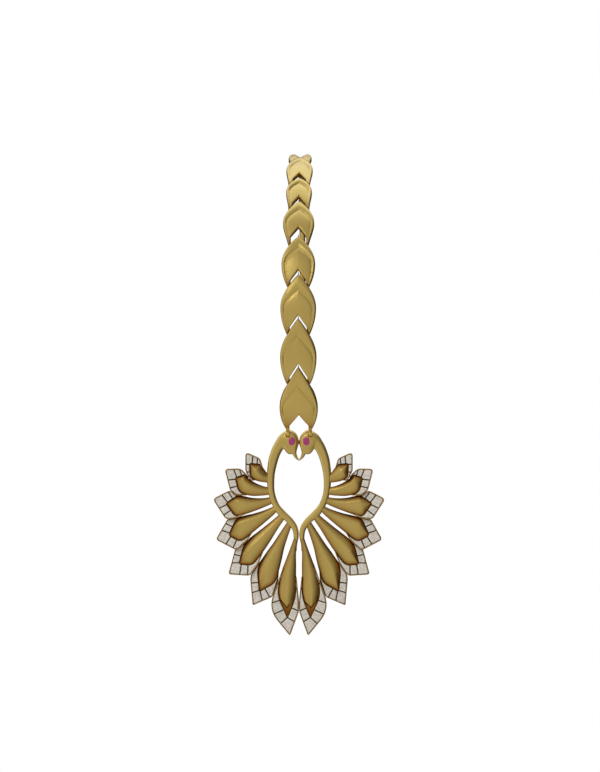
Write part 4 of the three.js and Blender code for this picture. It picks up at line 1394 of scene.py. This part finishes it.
@dataclass
class FeatherMaker:
    """Makes the plates, rims, petals and stones of one side's feathers.

    Attributes:
        plane: the pendant's frame.
        thickness: the plate's.
        petal_low: the petal's height at its root, above the plate.
        petal_high: its height where its crest ends.
        petal_tip: its height at its tip.
        wall: height of its straight sides.
        pocket: height of the floor that a hollow petal's end drops to.
        rim: width of the gold rim around the stones.
        stone: height of the stones' tables above the plate.
        channel: width of the channel between two stones.
        stone_below: length of a stone below the tip, along the band's outer edge.
        stone_above: length of a stone above the tip on the top feather.
        stone_growth: how much longer those are from one feather to the next.
        stone_hollow: length of all the stones on the hollow feather.
        corner_stone: how much longer the stone at the tip is, as a ratio.
        rim_top, rim_rows: height of the rim's top, and how many rings it has.
        girdle, bevel, seat: height of a stone's girdle, width of its bevel, its foot.
        margin: clear space between the stones and the rim or petal.
        foot: how far a petal goes into the plate.
        crest_root: where a petal's crest starts, as a share of the way across.
        root_shade, shade_growth, shade_run: painted shade along a petal's sides, growing towards its end.
        petal_rows, petal_cols, plate_rows, plate_cols, stone_grid: grid counts.
        plate_inset: how far the plate is drawn in, as a share of its width.
        cover_gap: how near a feather in front hides a line.
        end_outer, end_inner: where the end stones start, as shares of the first cut.
        least_share: the least share of the outer edge that an end stone takes.
        most_trim: the most of a stone's length that the channel takes at each end.
    """

    plane: PendantPlane
    thickness: float = 0.6
    petal_low: float = 0.4
    petal_high: float = 1.0
    petal_tip: float = 0.45
    wall: float = 0.2
    pocket: float = 0.05
    rim: float = 0.2
    rim_top: float = 0.6
    stone: float = 0.56
    girdle: float = 0.48
    bevel: float = 0.12
    seat: float = 0.05
    channel: float = 0.26
    stone_below: float = 1.7
    stone_above: float = 1.1
    stone_growth: float = 0.18
    stone_hollow: float = 2.4
    corner_stone: float = 1.2
    margin: float = 0.1
    rim_rows: int = 140
    foot: float = 0.2
    crest_root: float = 0.45
    root_shade: float = 0.45
    shade_growth: float = 0.4
    shade_run: float = 0.42
    petal_rows: tuple[int, int] = (44, 26)
    petal_cols: int = 33
    plate_rows: tuple[int, int, int] = (12, 24, 20)
    plate_cols: int = 9
    plate_inset: float = 0.02
    stone_grid: tuple[int, int] = (19, 13)
    cover_gap: float = 0.1
    end_outer: float = 0.15
    end_inner: float = 0.2
    least_share: float = 0.03
    most_trim: float = 0.42
    seed: int = 7

    def lay(self, feather: Feather, side: Side, flat: Array, height: Array | float) -> Array:
        """Points of the row frame, for plane points and heights above the plate.

        The height grows by the feather's level, and by its roll times the distance
        across the feather.
        """
        z = height + feather.level + feather.roll * ((flat - feather.root) @ feather.down)
        z = np.broadcast_to(z, flat.shape[:-1])[..., None]
        return self.plane.place(side, np.concatenate([flat, z], -1))

    def ruled_sides(
        self, line: Array, marks: list[float], other: list[float], counts: tuple[int, ...],
    ) -> tuple[Array, Array]:
        """Two sides of an outline, point for point, between matching marks.

        Args:
            line: the outline.
            marks: the shares of its length at the upper side's marks, from 0 to the tip.
            other: the same for the lower side, from 1 back to the tip.
            counts: how many steps each stretch has.

        Returns:
            The upper and lower side.
        """
        sides = []
        for stops in (marks, other):
            stretches = [np.linspace(a, b, n, endpoint=False) for a, b, n in zip(stops, stops[1:], counts)]
            sides.append(along(line, np.concatenate([*stretches, stops[-1:]])))
        return sides[0], sides[1]

    def petal(self, feather: Feather, side: Side) -> tuple[Part, Array]:
        """The petal: low straight walls and a roof with a soft crest.

        Across it the roof's height is (1 - s^1.5)^0.8, where s is 0 at the crest and 1
        at the sides. Along it the crest rises to the widest row and then falls straight
        to the tip. A hollow petal's end drops to the pocket's floor past a V, which lies
        further out at the crest than at the sides.

        Args:
            feather: the feather.
            side: the half of the pendant.

        Returns:
            Its part, and for each point how much painted shade it takes.
        """
        line = feather.petal_line()
        corners = (feather.upper[-1], feather.tip, feather.lower[-1])
        upper_at, tip_at, lower_at = (share_of(line, corner) for corner in corners)
        long_rows, end_rows = self.petal_rows
        upper, lower = self.ruled_sides(
            line, [0.0, upper_at, tip_at], [1.0, lower_at, tip_at], self.petal_rows,
        )
        t = to_edges(self.petal_cols)[None, :]
        flat = upper[:, None] * (1 - t[..., None]) + lower[:, None] * t[..., None]
        row = np.arange(len(upper))[:, None]
        out = np.clip(row / long_rows, 0, 1)
        past = np.clip((row - long_rows) / end_rows, 0, 1)
        crest = self.crest_root + (feather.crest - self.crest_root) * out
        s = np.where(t < crest, (crest - t) / crest, (t - crest) / (1 - crest))
        top = self.petal_low + (self.petal_high - self.petal_low) * smoothstep(0, 1, out)
        top = top - (self.petal_high - self.petal_tip) * past
        height = self.wall + (top - self.wall) * (1 - s**1.5) ** 0.8
        gap = distance_to(flat, line)
        # Painted shade along the petal's sides, stronger towards its end; the underside is fully shaded.
        painted_shade = (self.root_shade + self.shade_growth * out) * np.exp(-gap / self.shade_run)
        if feather.hollow:
            sunk = smoothstep(0.0, 0.12, past - 0.08 - 0.34 * np.clip(1 - s, 0, 1))
            # The hollow petal's pocket is painted in dark shade.
            painted_shade = np.maximum(painted_shade, (0.3 + 0.25 * past) * sunk)
            height = height * (1 - sunk) + self.pocket * sunk
        part = slab(self.lay(feather, side, flat, height), self.lay(feather, side, flat, -self.foot))
        return part, np.concatenate([painted_shade.ravel(), np.ones(painted_shade.size)])

    def plate(self, feather: Feather, side: Side) -> Part:
        """The plate, a flat slab drawn in a little behind its rim."""
        line = feather.outline()
        marks = [share_of(line, feather.plate[k]) for k in (0, 1, 2, 3, -1)]
        upper, lower = self.ruled_sides(
            line, [0.0, *marks[:3]], [1.0, marks[4], marks[3], marks[2]], self.plate_rows,
        )
        t = np.linspace(self.plate_inset, 1 - self.plate_inset, self.plate_cols)[None, :, None]
        flat = upper[:, None] * (1 - t) + lower[:, None] * t
        return slab(self.lay(feather, side, flat, 0.0), self.lay(feather, side, flat, -self.thickness))

    def cover(self, index: int) -> list[Array]:
        """The outlines of the feathers that lie in front of one."""
        last = len(FEATHERS) - 1
        others = [index - 1] if 0 < index < last else []
        if index == last - 1:
            others.append(last)
        return [FEATHERS[k].outline() for k in others]

    def free_span(self, index: int, line: Array) -> tuple[float, float]:
        """The shares of a line between which no feather lies in front of it."""
        hidden = np.zeros(len(line), bool)
        for outline in self.cover(index):
            hidden |= inside(line, outline) | (distance_to(line, outline) < self.cover_gap)
        shares = fractions_of(line)
        half = len(line) // 2
        start = shares[:half][hidden[:half]].max() if hidden[:half].any() else 0.0
        stop = shares[half:][hidden[half:]].min() if hidden[half:].any() else 1.0
        return float(start), float(stop)

    def rim_part(self, index: int, side: Side) -> Part:
        """The gold rim: a strip with a round top carried around the plate's end.

        Its top is a half circle of points across the rim's width.
        """
        feather = FEATHERS[index]
        line = feather.end_line()
        start, stop = self.free_span(index, line)
        shares = np.linspace(start, stop, self.rim_rows)
        out = along(line, shares)
        into = along(offset_line(line, -self.rim), shares)
        turn = np.linspace(0, np.pi, 7)
        across = (1 - np.cos(turn)) / 2
        rise = self.rim_top + self.rim / 2 * (np.sin(turn) - 1)
        rings = [self.lay(feather, side, out, -self.thickness)]
        rings += [self.lay(feather, side, out + (into - out) * a, r) for a, r in zip(across, rise)]
        rings.append(self.lay(feather, side, into, -self.thickness))
        return tube(np.stack(rings, axis=1))

    def cuts(self, index: int, outer: Array, inner: Array) -> list[tuple[float, float]]:
        """Where the stones of a band part.

        Stones are laid from the tip's corner outwards on both sides: two below it, and
        two above it or three on the hollow feather. A cut runs from the outer edge to
        the nearest place on the inner edge.

        Args:
            index: the feather's number from the top, from 0.
            outer: the band's outer edge.
            inner: the band's inner edge.

        Returns:
            For each cut, its shares of the outer and of the inner edge.
        """
        feather = FEATHERS[index]
        above, below = self.stone_above + self.stone_growth * index, self.stone_below
        if feather.hollow:
            above = below = self.stone_hollow
        ends = np.arange(3 if feather.hollow else 2) + self.corner_stone
        reach = np.concatenate([-above * ends[::-1], below * ends[:2]])
        shares = share_of(outer, feather.plate[2]) + reach / length_of(outer)
        return [(share, share_of(inner, at)) for share, at in zip(shares, along(outer, shares))]

    def stone_parts(self, index: int, side: Side) -> tuple[list[Part], list[Array]]:
        """The stones of one band.

        A stone is a grid between two cuts, from the rim to the petal. Its height is
        the girdle's, and rises over the bevel's width to the table's.

        Args:
            index: the feather's number from the top, from 0.
            side: the half of the pendant.

        Returns:
            The stones, and a tint for each.
        """
        feather = FEATHERS[index]
        outer = offset_line(feather.end_line(), -(self.rim + self.margin / 2))
        inner = offset_line(feather.petal_end(), self.margin)
        outer_span, inner_span = self.free_span(index, outer), self.free_span(index, inner)
        laid = self.cuts(index, outer, inner)
        first, last = laid[0], laid[-1]
        start = (
            max(outer_span[0], self.end_outer * first[0]),
            max(inner_span[0], self.end_inner * first[1]),
        )
        stop = (
            min(outer_span[1], 1 - self.end_outer * (1 - last[0])),
            min(inner_span[1], 1 - self.end_inner * (1 - last[1])),
        )
        low, high = start[0] + self.least_share, stop[0] - self.least_share
        cuts = [start, *[cut for cut in laid if low < cut[0] < high], stop]
        random = np.random.default_rng(self.seed + 20 * index + (5 if side is Side.LEFT else 0))
        parts, tints = [], []
        v, u = np.meshgrid(*map(to_edges, self.stone_grid), indexing="ij")
        for (o0, i0), (o1, i1) in zip(cuts, cuts[1:]):
            flat = []
            for line, low, high in ((outer, o0, o1), (inner, i0, max(i1, i0 + 1e-4))):
                stretch = along(line, np.linspace(low, high, 80))
                trim = min(self.channel / 2 / max(length_of(stretch), 1e-6), self.most_trim)
                flat.append(along(stretch, (trim + (1 - 2 * trim) * v).ravel()).reshape(*v.shape, 2))
            flat = flat[0] * (1 - u[..., None]) + flat[1] * u[..., None]
            border = np.concatenate([flat[0], flat[1:, -1], flat[-1, -2::-1], flat[-2:0:-1, 0], flat[:1, 0]])
            edge = distance_to(flat, border)
            height = self.girdle + (self.stone - self.girdle) * np.clip(edge / self.bevel, 0, 1)
            parts.append(slab(self.lay(feather, side, flat, height), self.lay(feather, side, flat, self.seat)))
            tints.append(1 - random.uniform(0.0, 0.02, 3) - random.uniform(0, 0.06))
        return parts, tints

    def build(self, gold: bpy.types.Material, stone: bpy.types.Material) -> None:
        """Builds every feather of both sides."""
        for side in Side:
            for index, feather in enumerate(FEATHERS):
                name = f"{side.word}_feather_{index + 1}"
                plate = frame_piece(f"{name}_plate")
                base, rim = self.plate(feather, side), self.rim_part(index, side)
                # Painted shade: full on the plate, which shows in the channels between the stones, and a
                # quarter on the rim.
                painted_shade = [np.full(len(base[0]), 1.0), np.full(len(rim[0]), 0.25)]
                make_piece(plate, [base, rim], gold, painted_shade=painted_shade)
                petal = frame_piece(f"{name}_petal", CAST_SHARP)
                body, painted_shade = self.petal(feather, side)
                make_piece(petal, [body], gold, painted_shade=[painted_shade])
                node = f"{side.word}_stones_{index + 1}"
                band = Piece(f"{node}_cut", Body.PENDANT, Slot.WHITE_STONE, (node,), CUT_SHARP)
                parts, tints = self.stone_parts(index, side)
                make_piece(band, parts, stone, tints=tints)


@dataclass
class Eyes:
    """The ruby eyes in thin gold bezels.

    Attributes:
        plane: the pendant's frame.
        x: how far an eye's middle is from the pendant's.
        y: its height, down from the top of the head.
        z: the height of its girdle.
        wide: its half width.
        tall: its half height.
        dome: the height of its dome.
    """

    plane: PendantPlane
    x: float = 1.54
    y: float = -2.42
    z: float = 0.9
    wide: float = 0.74
    tall: float = 0.95
    dome: float = 0.24
    bezel: float = 0.06

    def stone(self, side: Side) -> Part:
        """An oval dome on a straight girdle: rings that shrink as cos and rise as sin."""
        rise = np.concatenate([[-0.5, -0.02], np.sin(np.linspace(0, np.pi / 2, 12)[:-1])])
        shrink = np.concatenate([[0.9, 1.0], np.cos(np.linspace(0, np.pi / 2, 12)[:-1]) ** 0.8])
        turn = full_turn(40)
        x = self.x + self.wide * shrink[:, None] * np.cos(turn)
        y = self.y + self.tall * shrink[:, None] * np.sin(turn)
        z = np.broadcast_to(self.z + self.dome * rise[:, None], x.shape)
        return tube(self.plane.place(side, np.stack([x, y, z], -1)))

    def bezel_part(self, side: Side) -> Part:
        """A thin rounded wall around the eye: a small box section carried around an oval."""
        section = rounded_box_section(self.bezel / 2, 0.22, 0.04, 3)
        turn = full_turn(48)[:, None]
        grow = self.bezel / 2 + 0.01 + section[:, 0]
        x = self.x + (self.wide + grow) * np.cos(turn)
        y = self.y + (self.tall + grow) * np.sin(turn)
        z = np.broadcast_to(self.z - 0.16 + section[:, 1], x.shape)
        return loop_tube(self.plane.place(side, np.stack([x, y, z], -1)))

    def build(self, gold: bpy.types.Material, ruby: bpy.types.Material) -> None:
        """Builds both eyes."""
        for side in Side:
            eye = Piece(f"{side.word}_eye_stone", Body.PENDANT, Slot.RUBY, (f"{side.word}_eye",))
            make_piece(eye, [self.stone(side)], ruby)
            bezel = frame_piece(f"{side.word}_eye_bezel")
            make_piece(bezel, [self.bezel_part(side)], gold)


@dataclass
class Solder:
    """The two places where the birds are joined: a brow link and a bar behind feather 7.

    Attributes:
        plane: the pendant's frame.
        brow_y: the brow link's height.
        brow_half: its half length.
        brow_radius: its radius.
    """

    plane: PendantPlane
    brow_y: float = -2.55
    brow_half: float = 0.5
    brow_radius: float = 0.48
    bar_y: float = -36.8
    bar_half: float = 0.8
    bar_tall: float = 0.6
    bar_thick: float = 0.25

    def build(self, gold: bpy.types.Material) -> None:
        """Builds the brow link and the bar behind the innermost feathers."""
        x = np.linspace(-1, 1, 13)[:, None]
        turn = full_turn(24)
        waist = self.brow_radius * (0.8 + 0.35 * x**2)
        link = np.stack(np.broadcast_arrays(
            x * self.brow_half, self.brow_y + waist * np.cos(turn), waist * np.sin(turn),
        ), -1)
        section = rounded_box_section(self.bar_tall, self.bar_thick, 0.1, 3)
        level = FEATHERS[-1].level - FeatherMaker.thickness
        ends = np.array([-self.bar_half, self.bar_half])[:, None]
        bar = np.stack(np.broadcast_arrays(
            ends, self.bar_y + section[:, 0], level + section[:, 1],
        ), -1)
        parts = [tube(self.plane.place(Side.RIGHT, link)), tube(self.plane.place(Side.RIGHT, bar))]
        # The brow link between the heads and the bar behind the feathers are painted in shade.
        painted_shade = [np.full(len(part[0]), 0.45) for part in parts]
        piece = frame_piece("brow_link_and_bar")
        make_piece(piece, parts, gold, painted_shade=painted_shade)


# ------------------------------------------------------------------ studio


@dataclass
class Studio:
    """Camera, pale floor, soft light and the sky that the metal reflects.

    Attributes:
        distance: from the camera to the pendant's middle plane, in mm.
        yaw: how far the camera stands to the right, in degrees.
        frame_mm: height of the picture at the pendant, in mm.
        sensor: the camera's sensor in mm.
        aim_x: what the middle of the picture looks at.
        aim_z: the same, in height.
    """

    distance: float = 840.0
    yaw: float = 0.85
    frame_mm: float = 162.12
    sensor: float = 36.0
    aim_x: float = 0.2
    aim_z: float = -47.69
    floor_drop: float = 77.0
    floor_radius: float = 440.0
    floor_sides: int = 96
    floor_colour: str = "f4f3f0"
    grey: float = 0.36
    front_box: float = 0.12
    above_box: float = 0.96
    left_box: float = 0.35
    floor_light: float = 0.15
    right_dark: float = 0.8
    back_dark: float = 0.93
    warm: str = "fffbf2"
    cool: str = "dce6ff"

    def camera(self) -> None:
        """A long lens level with the picture's middle, turned a little from straight ahead."""
        data = bpy.data.cameras.new("camera")
        data.sensor_width = self.sensor
        data.lens = self.sensor * self.distance / self.frame_mm
        data.clip_start = 0.01
        data.clip_end = 20.0
        obj = bpy.data.objects.new("camera", data)
        turn = math.radians(self.yaw)
        obj.location = (
            (self.aim_x + self.distance * math.sin(turn)) * MM,
            SWING_M[1] - self.distance * math.cos(turn) * MM,
            self.aim_z * MM,
        )
        obj.rotation_euler = (math.pi / 2, 0, turn)
        bpy.context.scene.collection.objects.link(obj)
        bpy.context.scene.camera = obj

    def floor(self) -> None:
        """A plain pale disc well below the pendant, left out of the metal's reflections."""
        turn = full_turn(self.floor_sides)
        height = CAD_BOX[0][2] - self.floor_drop * MM
        reach = self.floor_radius * MM
        points = np.stack([reach * np.cos(turn), reach * np.sin(turn), np.full(turn.size, height)], -1)
        mesh = bpy.data.meshes.new("floor")
        mesh.from_pydata(points.tolist(), [], [list(range(turn.size))])
        material = bpy.data.materials.new("matt_white_card")
        tree = clear_nodes(material)
        shader = add_node(tree, "ShaderNodeBsdfPrincipled", {
            "Base Color": linear(self.floor_colour), "Roughness": 0.9,
        })
        add_node(tree, "ShaderNodeOutputMaterial", {"Surface": shader.outputs["BSDF"]})
        mesh.materials.append(material)
        obj = bpy.data.objects.new("floor", mesh)
        obj.visible_glossy = False
        bpy.context.scene.collection.objects.link(obj)

    def sky(self) -> None:
        """White behind the object, and for all else a studio with soft boxes.

        The light from a direction is a grey, plus a soft box in front, a large cool one
        above and behind, a tall one on the left and light off the floor. It falls off
        to the right, and low down behind there is almost none.
        """
        world = bpy.data.worlds.new("studio")
        bpy.context.scene.world = world
        tree = clear_nodes(world)
        way = add_node(tree, "ShaderNodeTexCoord").outputs["Generated"]
        axes = add_node(tree, "ShaderNodeSeparateXYZ", {"Vector": way})

        def share(
            axis: str, low: float, high: float, start: float = 0.0, stop: float = 1.0,
        ) -> bpy.types.NodeSocket:
            """A share that goes from start to stop between low and high along an axis."""
            return add_node(tree, "ShaderNodeMapRange", {
                "Value": axes.outputs[axis], "From Min": low, "From Max": high,
                "To Min": start, "To Max": stop,
            }, interpolation_type="SMOOTHSTEP").outputs["Result"]

        def joined(kind: str, *values: bpy.types.NodeSocket | float) -> bpy.types.NodeSocket:
            """Values added or multiplied one after another."""
            total = values[0]
            for value in values[1:]:
                total = add_node(tree, "ShaderNodeMath", {0: total, 1: value}, operation=kind).outputs[0]
            return total

        front = share("Y", -1.0, -0.75, self.front_box, 0.0)
        above = joined("MULTIPLY", share("Z", 0.2, 0.75), share("Y", -0.45, 0.4), self.above_box)
        left = joined("MULTIPLY", share("X", -0.95, -0.5, self.left_box, 0.0), share("Y", 0.5, 0.1))
        below = share("Z", -0.75, -0.3, self.floor_light, 0.0)
        total = joined("ADD", front, above, left, below, self.grey)
        total = joined("MULTIPLY", total, share("X", 0.4, 0.85, 1.0, 1 - self.right_dark))
        behind = joined("MULTIPLY", share("Y", 0.15, 0.7), share("Z", 0.45, 0.1), -self.back_dark)
        total = joined("MULTIPLY", total, joined("ADD", behind, 1.0))
        tone = add_node(tree, "ShaderNodeMix", {
            "Factor": above, "A": linear(self.warm), "B": linear(self.cool),
        }, data_type="RGBA")
        studio = add_node(tree, "ShaderNodeBackground", {"Color": tone.outputs["Result"], "Strength": total})
        white = add_node(tree, "ShaderNodeBackground", {"Color": (1, 1, 1, 1), "Strength": 1.0})
        seen = add_node(tree, "ShaderNodeLightPath").outputs["Is Camera Ray"]
        mix = add_node(tree, "ShaderNodeMixShader", {
            0: seen, 1: studio.outputs["Background"], 2: white.outputs["Background"],
        })
        add_node(tree, "ShaderNodeOutputWorld", {"Surface": mix.outputs["Shader"]})

    def lamp(self, name: str, place: tuple, size: float, power: float, mirrored: bool) -> None:
        """A soft square light that faces the object's middle.

        Args:
            name: its name.
            place: where it stands, in mm.
            size: its side in mm.
            power: its power in watts.
            mirrored: whether the metal mirrors it.
        """
        data = bpy.data.lights.new(name, "AREA")
        data.size = size * MM
        data.energy = power
        obj = bpy.data.objects.new(name, data)
        obj.visible_glossy = mirrored
        at = np.array(place) * MM
        aim = np.array([0.0, 0.0, self.aim_z * MM]) - at
        flat = math.hypot(aim[0], aim[1])
        obj.location = at
        obj.rotation_euler = (math.atan2(flat, -aim[2]), 0, math.atan2(aim[1], aim[0]) - math.pi / 2)
        bpy.context.scene.collection.objects.link(obj)

    def build(self) -> None:
        """Sets the camera, floor, sky and lights."""
        self.camera()
        self.floor()
        self.sky()
        self.lamp("key", place=(-260.0, -420.0, 420.0), size=300.0, power=1.4, mirrored=False)
        self.lamp("glint", place=(-240.0, -560.0, 330.0), size=180.0, power=0.22, mirrored=True)
        bpy.context.scene.view_settings.view_transform = "Standard"


def main() -> None:
    """Builds the strap, the hook, the pendant and the studio."""
    logging.basicConfig(level=logging.INFO, format="%(name)s: %(message)s")
    gold = SatinGold().make("cast_satin_gold")
    white = CutStone().make("square_cut_white_stone")
    ruby = RubyCabochon().make("polished_ruby")
    strap = Strap()
    strap.build(gold)
    EarHook(strap).build(gold)
    plane = PendantPlane()
    Bird(plane).build(strap, gold)
    FeatherMaker(plane).build(gold, white)
    Eyes(plane).build(gold, ruby)
    Solder(plane).build(gold)
    Studio().build()


if __name__ == "__main__":
    main()
